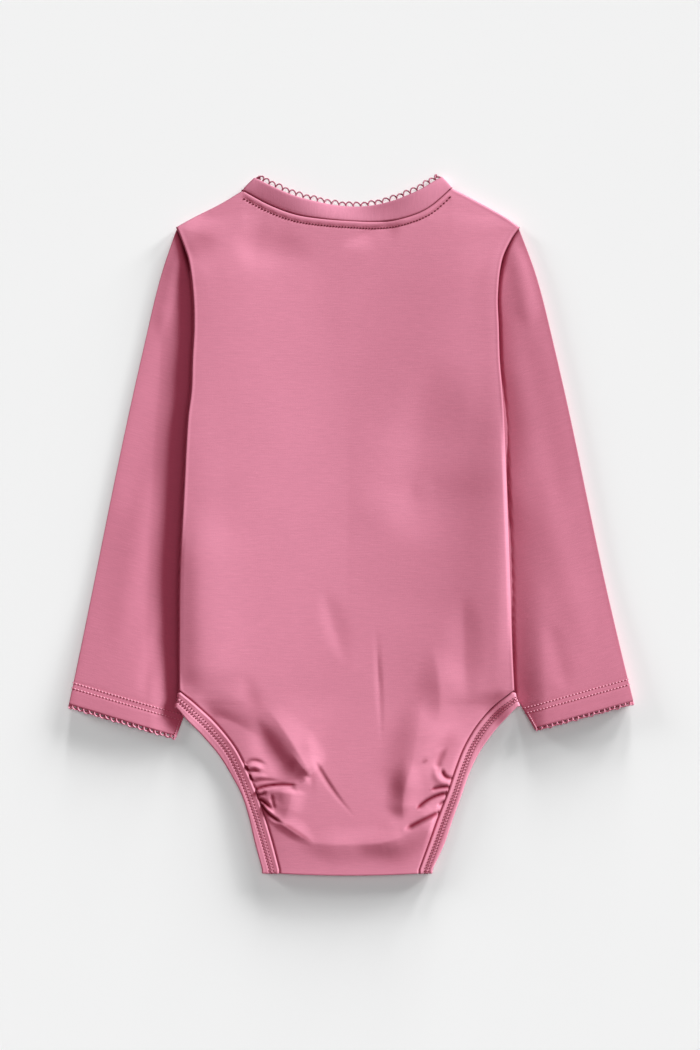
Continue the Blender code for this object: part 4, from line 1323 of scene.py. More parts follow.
@dataclass
class LoopEdge:
    """Twisted thread worked in loops along a closed edge."""

    count: int
    height: float
    swing: float
    radius: float = 0.33
    sink: float = 0.6
    uneven: float = 0.1
    uneven_turn: float = 2.399
    uneven_start: float = 0.7
    lean: float = 0.28
    lean_turn: float = 1.618
    lean_start: float = 2.0
    over: float = 1.3
    loop_steps: int = 26
    twist: float = 1.5
    ply_place: float = 0.62
    ply_radius: float = 0.72

    def build(self, name: str, line: Array, out: Array, up: Array) -> bpy.types.Object:
        """Make the loops.

        Args:
            name: Name of the piece.
            line: Points of the edge, a ring.
            out: Direction away from the cloth's edge at each point.
            up: Direction off the cloth at each point.

        Returns:
            The loops as one object of two twisted plies.
        """
        ring = np.concatenate([line, line[:1]])
        lengths = np.concatenate([[0.0], np.cumsum(np.linalg.norm(np.diff(ring, axis=0), axis=1))])
        pitch = lengths[-1] / self.count
        turn = FULL_TURN * np.arange(self.count * self.loop_steps) / self.loop_steps
        loop = np.floor(turn / FULL_TURN)
        tall = 1.0 + self.uneven * np.sin(loop * self.uneven_turn + self.uneven_start)
        lean = self.lean * np.sin(loop * self.lean_turn + self.lean_start) * (0.5 - 0.5 * np.cos(turn))
        at = (turn / FULL_TURN * pitch + self.swing * np.sin(turn) + lean) % lengths[-1]
        place = np.interp(at, lengths, np.arange(len(ring), dtype=float))
        low = np.floor(place).astype(int) % len(line)
        high = (low + 1) % len(line)
        part = (place - np.floor(place))[:, None]
        base, away, off = ((1 - part) * values[low] + part * values[high] for values in (line, out, up))
        off = unit(off)
        rise = 0.5 * (self.height * tall + self.sink) * (1.0 - np.cos(turn)) - self.sink
        drop = self.radius * (1.0 - self.over * np.sin(turn))
        path = base + unit(away) * rise[:, None] - off * drop[:, None]
        sideways, upwards = thread_axes(path, off, closed=True)
        run = np.linalg.norm(np.roll(path, -1, axis=0) - path, axis=1)
        turns = max(1, round(run.sum() / self.twist))
        wind = FULL_TURN * turns * (np.cumsum(run) - run) / run.sum()
        threads = Threads(name)
        for ply in range(2):
            angle = wind + math.pi * ply
            offset = np.cos(angle)[:, None] * sideways + np.sin(angle)[:, None] * upwards
            strand = path + self.ply_place * self.radius * offset
            strand[:, 2] = np.maximum(strand[:, 2], self.radius)
            radii = np.full(len(path), self.ply_radius * self.radius)
            threads.add(strand[None], off[None], radii, closed=True)
        return threads.build()


@dataclass
class Sleeve(Sewn):
    """One set-in sleeve, its cuff hem with twin stitching, and the loops on its cuff."""

    side: Side
    dye: "Finish"
    wall: float = 0.8
    lengths: int = 168
    turns: int = 152
    armhole_power: int = 4
    armhole_tuck: float = 3.0
    tuck_zone: Pair = (-0.1, 0.12)
    tucked: float = 1.6
    tucked_edge: float = -0.4
    least: float = 0.3
    swell: float = 2.4
    swell_reach: float = 9.0
    low_reach: float = 0.0
    low_zone: Pair = (168.0, 110.0)
    fall: float = 0.4
    fall_zone: Pair = (20.0, 62.0)
    cuff_raise: float = 2.8
    cuff_zone: Pair = (-20.0, -110.0)
    cuff_fade: Pair = (2.0, 20.0)
    join_raise: float = 2.4
    join_low: float = 150.0
    join_high: float = 177.0
    gap: float = 1.4
    gap_line: float = 0.3
    gap_width: float = 0.8
    gap_top: Pair = (163.0, 9.0)
    gap_fade: float = 10.0
    # Painted shade: in the gap beside the body's edge, strongest at the armhole; under the outer fold; on the
    # right sleeve's outer rim.
    armhole_shade: Triple = (164.0, 0.45, 1.4)
    shade_widths: Pair = (9.0, 12.0)
    shade_least: float = 0.55
    shade_reach: float = 0.9
    shade_fade: float = 6.0
    shade_turn: float = 0.05
    edge_painted_shade: float = 0.7
    edge_turn: float = 0.12
    rim_painted_shade: float = 0.3
    rim_width: float = 0.2
    edge_high: float = 0.7
    edge_power: float = 0.15
    edge_fall: float = 1.6
    fold_zone: Pair = (0.0, 0.55)
    hem: float = 14.6
    hem_raise: float = 0.1
    hem_step: float = 0.5
    end_drop: float = 0.12
    end_width: float = 0.7
    rows: Pair = (13.9, 10.6)
    groove: float = 0.34
    groove_width: float = 0.7
    stitch_pitch: float = 2.1
    stitch_radius: float = 0.36
    stitch_overlap: float = 1.15
    tack_rows: Triple = (10.0, 0.8, -1.5)
    tack_length: float = 1.1
    tack_turns: float = 7.0
    loop_drop: float = 0.35
    end_rows: int = 5
    loops: LoopEdge = field(default_factory=lambda: LoopEdge(40, 1.9, -1.0, radius=0.4, uneven=0.2))
    from_end: Array = field(init=False)

    def flat(self, along: Array, around: Array) -> tuple[Array, Array, Array]:
        """Places on the flattened tube.

        Args:
            along: Parts of the sleeve's length.
            around: Angles round it.

        Returns:
            X, Y and thickness there.
        """
        rows = SLEEVE[self.side]
        armhole = ARMHOLE[self.side]
        across = 0.5 - 0.5 * np.cos(around)
        bend = (1.0 - along) ** self.armhole_power
        places = []
        for axis in ("x", "y"):
            outer = read_evenly(rows, "outer_" + axis, along)
            inner = read_evenly(rows, "inner_" + axis, along)
            start = getattr(rows[0], "outer_" + axis)
            straight = start + across * (getattr(rows[0], "inner_" + axis) - start)
            arm = read(armhole, "across", axis, across)
            places.append(outer + across * (inner - outer) + bend * (arm - straight))
        x, y = places
        x = x - self.side.value * self.armhole_tuck * bend * ease(*self.tuck_zone, across)
        outside = self.outside(x, y)
        low = self.tucked + self.join_raise * ease(self.join_low, self.join_high, y)
        peak = self.tucked + self.swell
        low_reach = self.low_reach * ease(*self.low_zone, y)
        rise = 1.0 - np.exp(-np.maximum(outside - low_reach, 0.0) / self.swell_reach)
        thick = low + (peak - low) * rise
        thick = thick - self.fall * ease(*self.fall_zone, outside)
        thick = thick + self.cuff_raise * ease(*self.cuff_zone, y) * ease(*self.cuff_fade, outside)
        beside = ease(LEG_TOP_Y - self.gap_fade, LEG_TOP_Y, y)
        wide = self.gap_width * (1.0 + bump(y, *self.gap_top))
        thick = thick - beside * self.gap * bump(outside, self.gap_line, wide)
        thick = np.minimum(thick, np.where(outside < self.tucked_edge, self.tucked, math.inf))
        return x, y, np.maximum(thick, self.least)

    def outside(self, x: Array, y: Array) -> Array:
        """Distance of places beyond the body's edge over the sleeve."""
        return self.side.value * (x - read(COVER_EDGE, "y", self.side.word, np.maximum(y, LEG_TOP_Y)))

    def depth(self, x: Array, y: Array, around: Array) -> Array:
        """Painted shade from 0 to 1 for each place: in the gap beside the body's edge, under the outer fold,
        and on the right sleeve's outer rim.
        """
        gap = np.maximum(self.outside(x, y), 0.0)
        top, strong, wide = self.armhole_shade
        wide = self.gap_width * (self.shade_reach + wide * bump(y, top, self.shade_widths[0]))
        strong = self.shade_least + strong * bump(y, top, self.shade_widths[1])
        beside = ease(LEG_TOP_Y - self.shade_fade, LEG_TOP_Y, y) * (np.sin(around) > self.shade_turn)
        # Painted shade under the sleeve's outer fold, and on the right sleeve's upper rim.
        turned = np.where(around > math.pi, around - FULL_TURN, around)
        under_edge = self.edge_painted_shade * bump(turned, -self.edge_turn, self.edge_turn)
        if self.side is Side.RIGHT:
            under_edge = np.maximum(under_edge, self.rim_painted_shade * bump(turned, self.edge_turn, self.rim_width))
        return np.maximum(strong * beside * bump(gap, 0.0, wide), under_edge)

    def build(self) -> None:
        """Make the cloth, its stitches and its loops."""
        along = np.linspace(0.0, 1.0, self.lengths)[:, None]
        around = FULL_TURN * np.arange(self.turns)[None, :] / self.turns
        x, y, thick = self.flat(along, around)
        turn = np.abs(np.sin(around))
        above = thick * (self.edge_high + (1.0 - self.edge_high) * turn**self.edge_power)
        below = np.maximum(0.0, self.edge_high * thick * (1.0 - self.edge_fall * np.sqrt(turn)))
        z = np.where(np.sin(around) >= 0.0, above, below)
        self.from_end = self.lengths_from_end(np.stack([x, y], -1))
        hem = self.hem_raise * ease(self.hem + self.hem_step, self.hem - self.hem_step, self.from_end)
        first, second = (bump(self.from_end, row, self.groove_width) for row in self.rows)
        hem = hem - self.groove * (first + second)
        hem = hem - self.end_drop * quarter(self.from_end, self.end_width)
        facing = ease(*self.fold_zone, np.sin(around))
        folds = Creases(SLEEVE_FOLDS[self.side]).relief(x, y)
        z = np.maximum(z + facing * (folds + hem), 0.0)
        grid = np.stack([x, y, z], -1)
        flip = self.side is Side.RIGHT
        depth = self.depth(x, y, around)
        name = "sleeve_cloth_" + self.side.word
        self.cloth = Cloth(name, grid, self.wall, closed_columns=True, flip=flip, depth=depth)
        self.piece = self.cloth.build()
        self.sewing = self.cuff_stitches()
        end = grid[-1]
        up = self.cloth.at(np.full(self.turns, self.lengths - 1.0), np.arange(self.turns, dtype=float))[1]
        name = "cuff_loops_" + self.side.word
        self.edging = self.loops.build(name, end - up * self.loop_drop, end - grid[-self.end_rows], up)

    def lengths_from_end(self, places: Array) -> Array:
        """Distance of each grid point from the cuff's end, along the sleeve."""
        parts = np.linalg.norm(np.diff(places, axis=0), axis=-1)
        tail = np.cumsum(parts[::-1], axis=0)[::-1]
        return np.concatenate([tail, np.zeros((1, places.shape[1]))], axis=0)

    def row_at(self, distance: float, col: Array) -> Array:
        """Row places at a distance from the cuff's end.

        Args:
            distance: Distance along the sleeve.
            col: Column places.

        Returns:
            Row places, one for each column place.
        """
        index = np.arange(self.lengths, dtype=float)
        rows = [np.interp(-distance, -self.from_end[:, turn], index) for turn in range(self.turns)]
        rows.append(rows[0])
        return np.interp(col, np.arange(self.turns + 1), rows)

    def cuff_stitches(self) -> bpy.types.Object:
        """Two rows of stitches round the hem, the thread between them and the tack on the seam."""
        threads = Threads("cuff_stitches_" + self.side.word)
        columns = np.arange(self.turns, dtype=float)
        ring = self.cloth.at(self.row_at(self.rows[0], columns), columns)[0]
        start, end = stitch_places(spread(ring, 0.5 * self.stitch_pitch, closed=True), self.stitch_overlap)
        for distance in self.rows:
            ends = ((self.row_at(distance, col), col) for col in (start, end))
            threads.stitches(self.cloth, *ends, self.stitch_radius)
        tack = np.arange(*self.tack_rows)
        inner = np.full(len(tack), 0.5 * self.turns - self.tack_turns)
        last = self.row_at(0.0, inner)
        ends = ((last - place * self.rows_per_mm(), inner) for place in (tack, tack - self.tack_length))
        threads.stitches(self.cloth, *ends, self.stitch_radius)
        return threads.build()

    def rows_per_mm(self) -> float:
        """Grid rows in a millimetre near the cuff, by its inner edge."""
        return 1.0 / float(self.from_end[-2, self.turns // 2])

    def dress(self, garment: "Garment") -> None:
        """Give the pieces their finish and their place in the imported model."""
        word = self.side.word
        garment.settle(self.piece, Slot.JERSEY, self.dye, "sleeve_" + word)
        garment.settle(self.sewing, Slot.JERSEY, garment.pale_thread)
        garment.settle(self.edging, Slot.PICOT, garment.cuff_thread, "picot_cuff_" + word)


@dataclass
class Strip:
    """Band along an opening, as seam and rim points by station, with a profile across."""

    seam: Array
    rim: Array
    across: Array
    closed: bool

    def width(self) -> Array:
        """Width of the band at each station."""
        return np.linalg.norm(self.rim - self.seam, axis=1)

    def shade(self) -> Array:
        """Depth of shade along the seam, by station and place across."""
        return SEAM_SHADE * shadow(self.across[None, :] * self.width()[:, None], SEAM_SHADE_WIDTH)

    def grid(self, profile: Callable[[Array, Array], Array], out: Array) -> Array:
        """Points of the band's outer side.

        Args:
            profile: Height off the plain strip, from distances off the seam and widths.
            out: Rough outward direction at each station.

        Returns:
            Points by station and place across, none below the surface.
        """
        width = self.width()[:, None]
        part = self.across[None, :]
        base = self.seam[:, None, :] + part[..., None] * (self.rim - self.seam)[:, None, :]
        normals = join_normals(base, closed_rows=self.closed)
        facing = np.sign(np.einsum("ijk,ik->ij", normals, out))
        grid = base + normals * (facing * profile(part * width, width))[..., None]
        grid[..., 2] = np.maximum(grid[..., 2], 0.0)
        return grid


def turn_over(first: Array, last: Array, push: Sequence[float], count: int) -> Array:
    """Stations between two where a band turns over a fold.

    Args:
        first: First point.
        last: Last point.
        push: How far the turn bulges, as a vector.
        count: Steps of the turn.

    Returns:
        Points between the two.
    """
    angle = math.pi * np.arange(1, count)[:, None] / count
    return first + (0.5 - 0.5 * np.cos(angle)) * (last - first) + np.array(push) * np.sin(angle)


@dataclass
class Neckband(Sewn):
    """Ring of self cloth round the neck, with its looped edging."""

    layers: Layers
    dye: "Finish"
    wall: float = 0.9
    spacing: float = 1.3
    front_share: float = 1.3
    turn_steps: int = 8
    seam_parts: tuple[float, float, int] = (0.0, 0.22, 5)
    middle_parts: tuple[float, float, int] = (0.3, 0.9, 7)
    rim_parts: tuple[float, ...] = (0.95, 0.98, 1.0)
    tuck: float = 0.06
    tuck_drop: float = 0.9
    tuck_width: float = 0.6
    tuck_most: float = 2.0
    tuck_hollow: float = 0.12
    hollow_line: Pair = (1.0, 0.6)
    rim_round: float = 0.7
    rim_width: float = 1.1
    shoulder: float = 3.4
    rise: float = 1.5
    rim_drop: float = 6.0
    rim_lift: float = 2.5
    drop_middle: float = 2.0
    drop_reach: float = 27.0
    bulge: float = 0.7
    seam_bulge: float = 0.25
    crown: float = 0.2
    loop_drop: float = 0.35
    loop_tilt: float = 0.2
    loops: LoopEdge = field(default_factory=lambda: LoopEdge(65, 3.0, -0.95, radius=0.44))

    def stations(self) -> tuple[Array, Array, Array]:
        """Seam points, rim points and rough outward directions all round."""
        first = BACK_NECK[0].x
        last = BACK_NECK[-1].x
        x = np.linspace(first, last, round((last - first) / self.spacing))
        away = 1.0 - np.exp(-np.minimum(x - first, last - x) / self.layers.hollow_reach)
        height = self.shoulder + self.rise * away
        back_seam = np.stack([x, read(BACK_NECK, "x", "y", x), height], -1)
        rim_x = read(BACK_NECK_BAND, "seam_x", "rim_x", x)
        rim_y = read(BACK_NECK_BAND, "seam_x", "rim_y", x)
        drop = self.rim_drop * bump(x, self.drop_middle, self.drop_reach) - self.rim_lift
        back_rim = np.stack([rim_x, rim_y, height - drop * away], -1)
        part = np.linspace(1.0, 0.0, round(self.front_share * len(x)))
        lines = []
        for end in ("seam", "rim"):
            line = [read_evenly(FRONT_NECK, end + axis, part) for axis in ("_x", "_y")]
            lines.append(np.stack(line + [0.0 * part], -1))
        rings = []
        for back, front, push in ((back_seam, lines[0], self.seam_bulge), (back_rim, lines[1], self.bulge)):
            right = turn_over(back[-1], front[0], (push, push, 0.0), self.turn_steps)
            left = turn_over(front[-1], back[0], (-push, push, 0.0), self.turn_steps)
            rings.append(np.concatenate([back, right, front, left]))
        turned = np.linspace(0.0, math.pi, self.turn_steps + 1)[1:-1]
        right_out = np.stack([np.sin(turned), np.sin(turned), np.cos(turned)], -1)
        left_out = np.stack([-np.sin(turned), np.sin(turned), -np.cos(turned)], -1)
        up = np.tile(UP, (len(x), 1))
        down = np.tile(DOWN, (len(part), 1))
        return rings[0], rings[1], np.concatenate([up, right_out, down, left_out])

    def profile(self, gap: Array, width: Array) -> Array:
        """Height across: under the seam's lip, a low crown, a rounded free side."""
        crown = self.crown * np.sin(math.pi * np.clip(gap / width, 0.0, 1.0))
        tucked = self.tuck_drop * np.clip(1.0 - gap / self.tuck_width, 0.0, self.tuck_most)
        tucked = tucked + self.tuck_hollow * bump(gap, *self.hollow_line)
        return crown - tucked - self.rim_round * quarter(width - gap, self.rim_width)

    def build(self) -> None:
        """Make the band and its loops."""
        seam, rim, out = self.stations()
        inner = (np.linspace(*self.seam_parts), np.linspace(*self.middle_parts))
        strip = Strip(seam, rim, np.concatenate([[-self.tuck], *inner, self.rim_parts]), True)
        grid = strip.grid(self.profile, out)
        self.cloth = Cloth("neck_binding", grid, self.wall, closed_rows=True, depth=strip.shade())
        self.piece = self.cloth.build()
        line = grid[:, -1] - self.loop_drop * out
        up = out + self.loop_tilt * self.cloth.outward()[:, -1]
        self.edging = self.loops.build("neck_loops", line, rim - seam, up)

    def dress(self, garment: "Garment") -> None:
        """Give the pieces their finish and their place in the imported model."""
        garment.settle(self.piece, Slot.BINDING, self.dye, "neckband")
        garment.settle(self.edging, Slot.PICOT, garment.loop_thread, "picot_neck")


@dataclass
class LegBinding(Sewn):
    """Binding round one leg opening, with its cover stitching."""

    side: Side
    layers: Layers
    dye: "Finish"
    wall: float = 0.9
    spacing: float = 1.25
    turn_steps: int = 8
    drop: float = 0.9
    drop_zones: tuple[float, float, float, float] = (-172.0, -150.0, -118.0, -136.0)
    set_down: float = 0.2
    corner_raise: float = 0.5
    corner_zone: Pair = (-142.0, -112.0)
    bulge: float = 1.6
    inset: float = 1.3
    inset_y: float = -113.0
    tab_band: float = 9.5
    tab_rows: tuple[float, ...] = (-211.0, -208.0, -203.0, -196.0, -189.0, -181.0, -174.0)
    inner_parts: tuple[float, float, int] = (0.0, 0.92, 26)
    rim_parts: tuple[float, ...] = (0.95, 0.975, 1.0)
    welt: float = 0.26
    welt_line: Pair = (1.25, 0.7)
    seam_drop: float = 0.5
    seam_width: float = 0.5
    swell: float = 0.08
    swell_line: Pair = (7.6, 0.8)
    rim_round: float = 0.6
    rim_width: float = 0.9
    rows: Pair = (3.5, 6.3)
    groove: float = 0.22
    groove_width: float = 0.5
    stitch_column: int = 12
    stitch_pitch: float = 2.0
    stitch_radius: float = 0.27
    stitch_overlap: float = 1.2
    cross_inset: float = 0.45
    cross_thin: float = 0.55
    across: Array = field(init=False)

    def station(self, table: dict[Side, tuple[LegRow, ...]], seam_y: Array) -> tuple[Array, ...]:
        """Seam and free side at heights, drawn in where the binding turns round the side.

        Args:
            table: Leg seams of the back or the front.
            seam_y: Heights on the seam.

        Returns:
            X and Y of the seam, X and Y of the free side.
        """
        rows = table[self.side]
        turn = self.inset * ease(self.inset_y, LEG_TOP_Y, seam_y)
        seam_x = read(rows, "seam_y", "seam_x", seam_y) - self.side.value * turn
        rim_x = read(rows, "seam_y", "rim_x", seam_y) - self.side.value * turn
        beyond = np.minimum(0.0, seam_y - column(rows, "seam_y").min())
        return seam_x, seam_y - turn, rim_x, read(rows, "seam_y", "rim_y", seam_y) + beyond

    def back_stations(self) -> tuple[Array, Array]:
        """Seam and rim points along the back's leg seam, top down."""
        seam_y = np.array(steps(LEG_TOP_Y, LEG_FOOT_Y, self.spacing) + [LEG_FOOT_Y])
        seam_x, low_y, rim_x, rim_y = self.station(BACK_LEG, seam_y)
        drop = self.drop * ease(*self.drop_zones[:2], seam_y) * ease(*self.drop_zones[2:], seam_y)
        shift = self.corner_raise * ease(*self.corner_zone, seam_y) - self.set_down
        none = np.zeros_like(seam_y)
        seam_z = self.layers.back(seam_x, low_y, none) + shift
        rim_z = self.layers.back(rim_x, rim_y, none) + shift - drop
        return np.stack([seam_x, low_y, seam_z], -1), np.stack([rim_x, rim_y, rim_z], -1)

    def front_stations(self) -> tuple[Array, Array]:
        """Seam and rim points along the front's leg seam, bottom up."""
        seam_y = np.array(steps(self.layers.flap_foot_y, LEG_TOP_Y, self.spacing) + [LEG_TOP_Y])
        seam_x, low_y, rim_x, rim_y = self.station(FRONT_LEG, seam_y)
        seam_z = self.layers.underside(seam_x, low_y)
        rim_z = self.layers.underside(rim_x, rim_y)
        return np.stack([seam_x, low_y, seam_z], -1), np.stack([rim_x, rim_y, rim_z], -1)

    def ring(self, back: Array, front: Array, tab_x: float) -> Array:
        """One line of the binding, from the flap's end round the side and the bottom fold to the tab's end.

        Args:
            back: Its points along the back's leg seam.
            front: Its points along the front's leg seam.
            tab_x: Its place across on the tab.

        Returns:
            Points by station.
        """
        push = (self.side.value * self.bulge, 0.0, 0.0)
        side_turn = turn_over(front[-1], back[0], push, self.turn_steps)
        tab_y = np.array(self.tab_rows)
        tab = np.stack([np.full_like(tab_y, tab_x), tab_y, self.layers.tab(tab_y)], -1)
        return np.concatenate([front, side_turn, back, np.array(self.layers.fold_rows(back[-1])), tab])

    def profile(self, gap: Array, width: Array) -> Array:
        """Height across: seam groove, rolled welt, two stitched grooves and a rounded free side."""
        welt = self.welt * bump(gap, *self.welt_line) - self.seam_drop * bump(gap, 0.0, self.seam_width)
        first, second = (bump(gap, row, self.groove_width) for row in self.rows)
        swell = self.swell * bump(gap, *self.swell_line)
        rim = self.rim_round * quarter(width - gap, self.rim_width)
        return welt - self.groove * (first + second) + swell - rim

    def build(self) -> None:
        """Make the binding and its stitches."""
        back_seam, back_rim = self.back_stations()
        front_seam, front_rim = self.front_stations()
        side = self.side.value
        seam = self.ring(back_seam, front_seam, side * self.layers.tab_half)
        rim = self.ring(back_rim, front_rim, side * (self.layers.tab_half + self.tab_band))
        turned = math.pi * (1.0 - np.arange(1, self.turn_steps) / self.turn_steps)
        side_out = np.stack([side * np.sin(turned), 0.0 * turned, np.cos(turned)], -1)
        fold = math.pi * np.arange(1, self.layers.fold_steps + 1) / self.layers.fold_steps
        fold_out = np.stack([0.0 * fold, -np.sin(fold), np.cos(fold)], -1)
        faced = ((DOWN, front_seam), (UP, back_seam), (DOWN, self.tab_rows))
        down, up, tab = (np.tile(way, (len(rows), 1)) for way, rows in faced)
        self.across = np.concatenate([np.linspace(*self.inner_parts), self.rim_parts])
        strip = Strip(seam, rim, self.across, False)
        grid = strip.grid(self.profile, np.concatenate([down, side_out, up, fold_out, tab]))
        flip = self.side is Side.LEFT
        self.cloth = Cloth("leg_binding_" + self.side.word, grid, self.wall, flip=flip, depth=strip.shade())
        self.piece = self.cloth.build()
        self.sewing = self.stitches(strip.width())

    def stitches(self, width: Array) -> bpy.types.Object:
        """Two rows of stitches with the thread that crosses between them."""
        threads = Threads("leg_stitches_" + self.side.word)
        index = np.arange(len(width), dtype=float)
        halves = spread(self.cloth.grid[:, self.stitch_column], 0.5 * self.stitch_pitch)
        start, end = stitch_places(halves, self.stitch_overlap)
        after = np.append(start[1:], end[-1])
        places = np.arange(len(self.across), dtype=float)

        def col(row: Array, gap: float) -> Array:
            """Column places at a distance from the seam."""
            return np.interp(gap / np.interp(row, index, width), self.across, places)

        for gap in self.rows:
            threads.stitches(self.cloth, (start, col(start, gap)), (end, col(end, gap)), self.stitch_radius)
        thin = self.cross_thin * self.stitch_radius
        inner, outer = self.rows[0] + self.cross_inset, self.rows[1] - self.cross_inset
        threads.stitches(self.cloth, (start, col(start, inner)), (end, col(end, outer)), thin)
        threads.stitches(self.cloth, (end, col(end, outer)), (after, col(after, inner)), thin)
        return threads.build()

    def dress(self, garment: "Garment") -> None:
        """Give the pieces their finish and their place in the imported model."""
        garment.settle(self.piece, Slot.BINDING, self.dye, "leg_band_" + self.side.word)
        garment.settle(self.sewing, Slot.BINDING, garment.thread)


@dataclass
class Snaps:
    """Three snap caps under the crotch flap."""

    dye: "Finish"
    y: float = -187.0
    places: tuple[float, ...] = (-27.0, 0.0, 27.0)
    segments: int = 48
    pieces: list[bpy.types.Object] = field(init=False, default_factory=list)
    profile: tuple[Pair, ...] = (
        (0.0, 0.10), (1.2, 0.08), (1.9, 0.02), (2.1, 0.14), (2.5, 0.16), (2.7, 0.0), (3.6, 0.02), (4.2, 0.14),
        (4.5, 0.34), (4.6, 0.6), (4.55, 0.85), (4.3, 1.02), (4.0, 1.08), (1.6, 1.1), (1.5, 1.45), (0.0, 1.45),
    )

    def build(self) -> None:
        """Turn each cap from its profile."""
        radius = np.array([row[0] for row in self.profile])[1:-1]
        height = np.array([row[1] for row in self.profile])
        angle = FULL_TURN * np.arange(self.segments) / self.segments
        count = len(radius)
        index = np.arange(count * self.segments).reshape(count, self.segments)
        after = np.roll(index, -1, axis=1)
        quads = np.stack([index[:-1], index[1:], after[1:], after[:-1]], -1).reshape(-1, 4)
        low = count * self.segments
        faces = [tuple(face) for face in quads.tolist()]
        faces += [(low, int(a), int(b)) for a, b in zip(index[0], after[0])]
        faces += [(low + 1, int(b), int(a)) for a, b in zip(index[-1], after[-1])]
        for number, x in enumerate(self.places, start=1):
            ring_x = x + radius[:, None] * np.cos(angle)
            ring_y = self.y + radius[:, None] * np.sin(angle)
            ring = np.stack([ring_x, ring_y, height[1:-1, None] + 0.0 * angle], -1)
            ends = np.array([[x, self.y, height[0]], [x, self.y, height[-1]]])
            item = make_object(f"snap_cap_{number}", np.concatenate([ring.reshape(-1, 3), ends]), faces)
            self.pieces.append(item)

    def dress(self, garment: "Garment") -> None:
        """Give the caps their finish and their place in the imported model."""
        for number, item in enumerate(self.pieces, start=1):
            garment.settle(item, Slot.SNAP, self.dye, f"snap_{number}")


class Wire:
    """Value socket in an expression: each operator adds its Math node."""

    def __init__(self, sheet: "NodeSheet", socket: bpy.types.NodeSocket) -> None:
        """Keep the socket and the tree that it is in."""
        self.sheet = sheet
        self.socket = socket

    def math(self, operation: str, *values: object) -> "Wire":
        """Add a Math node.

        Args:
            operation: Blender's name of the operation.
            values: Numbers or wires, in the order of the node's sockets.

        Returns:
            The result.
        """
        node = self.sheet.add("ShaderNodeMath", {"operation": operation}, dict(enumerate(values)))
        return Wire(self.sheet, node.outputs[0])

    def __add__(self, other: object) -> "Wire":
        """Sum."""
        return self.math("ADD", self, other)

    def __radd__(self, other: object) -> "Wire":
        """Sum, from the right."""
        return self.math("ADD", other, self)

    def __sub__(self, other: object) -> "Wire":
        """Difference."""
        return self.math("SUBTRACT", self, other)

    def __rsub__(self, other: object) -> "Wire":
        """Difference, from the right."""
        return self.math("SUBTRACT", other, self)

    def __mul__(self, other: object) -> "Wire":
        """Product."""
        return self.math("MULTIPLY", self, other)

    def __rmul__(self, other: object) -> "Wire":
        """Product, from the right."""
        return self.math("MULTIPLY", other, self)

    def __abs__(self) -> "Wire":
        """Distance from zero."""
        return self.math("ABSOLUTE", self)

    def wave(self) -> "Wire":
        """Sine of this many full turns."""
        turned = self * FULL_TURN
        return turned.math("SINE", turned)

    def fraction(self) -> "Wire":
        """Part after the decimal point."""
        return self.math("FRACT", self)

    def span(self, low: float, high: float) -> "Wire":
        """Smooth rise from 0 at low to 1 at high."""
        settings = {"interpolation_type": "SMOOTHSTEP"}
        node = self.sheet.add("ShaderNodeMapRange", settings, {0: self, 1: low, 2: high})
        return Wire(self.sheet, node.outputs[0])


class NodeSheet:
    """Node tree of one material."""

    def __init__(self, name: str) -> None:
        """Make the material with its shader."""
        self.material = bpy.data.materials.new(name)
        self.material.use_nodes = True
        self.tree = self.material.node_tree
        self.shader = self.tree.nodes["Principled BSDF"]

    def add(self, kind: str, settings: dict[str, object], values: dict[object, object]) -> bpy.types.Node:
        """Add a node.

        Args:
            kind: Blender's node type.
            settings: Properties of the node, set first.
            values: Values or links of its sockets, by name or place.

        Returns:
            The node.
        """
        node = self.tree.nodes.new(kind)
        for name, value in settings.items():
            setattr(node, name, value)
        for key, value in values.items():
            self.feed(node.inputs[key], value)
        return node

    def feed(self, socket: bpy.types.NodeSocket, value: object) -> None:
        """Link a wire or socket to a socket, or set its value."""
        if isinstance(value, Wire):
            self.tree.links.new(value.socket, socket)
        elif isinstance(value, bpy.types.NodeSocket):
            self.tree.links.new(value, socket)
        else:
            socket.default_value = value

    def vector(self, operation: str, first: object, second: object) -> bpy.types.NodeSocket:
        """Result of a Vector Math node."""
        return self.add("ShaderNodeVectorMath", {"operation": operation}, {0: first, 1: second}).outputs[0]

    def tint(self, factor: object, first: object, second: object) -> bpy.types.NodeSocket:
        """Colour between two, by a factor; the node's colour sockets go by place, because names repeat."""
        node = self.add("ShaderNodeMix", {"data_type": "RGBA"}, {0: factor, 6: first, 7: second})
        return node.outputs[2]

    def place(self) -> bpy.types.NodeSocket:
        """Places on the object, in metres."""
        return self.add("ShaderNodeTexCoord", {}, {}).outputs["Object"]

    def noise(self, place: object, grain: "Grain") -> Wire:
        """Noise at a place, scaled to its grain."""
        scaled = self.vector("MULTIPLY", place, grain.scale)
        values = {"Vector": scaled, "Scale": 1.0, "Detail": grain.detail, "Roughness": grain.roughness}
        return Wire(self, self.add("ShaderNodeTexNoise", {}, values).outputs[0])

    def relief(self, strength: float, distance: float, height: Wire) -> bpy.types.NodeSocket:
        """Normal bent by heights of up to a distance in millimetres."""
        values = {"Strength": strength, "Distance": distance * MM, "Height": height}
        return self.add("ShaderNodeBump", {}, values).outputs[0]

    def surface(self, values: dict[str, object]) -> bpy.types.Material:
        """Link or set the shader's own sockets, which finishes the material."""
        for name, value in values.items():
            self.feed(self.shader.inputs[name], value)
        return self.material


def shade(colour: Triple, factor: float) -> tuple[float, float, float, float]:
    """Colour scaled in brightness, with alpha."""
    return (colour[0] * factor, colour[1] * factor, colour[2] * factor, 1.0)


@dataclass(frozen=True)
class Finish:
    """What every finish has."""

    name: str
    colour: Triple

    def make(self) -> bpy.types.Material:
        """Make the material."""
        raise NotImplementedError


class Grain(NamedTuple):
    """How many grains of noise go on a unit of length along each axis, and how fine and rough they are."""

    scale: Triple
    detail: float
    roughness: float = 0.5


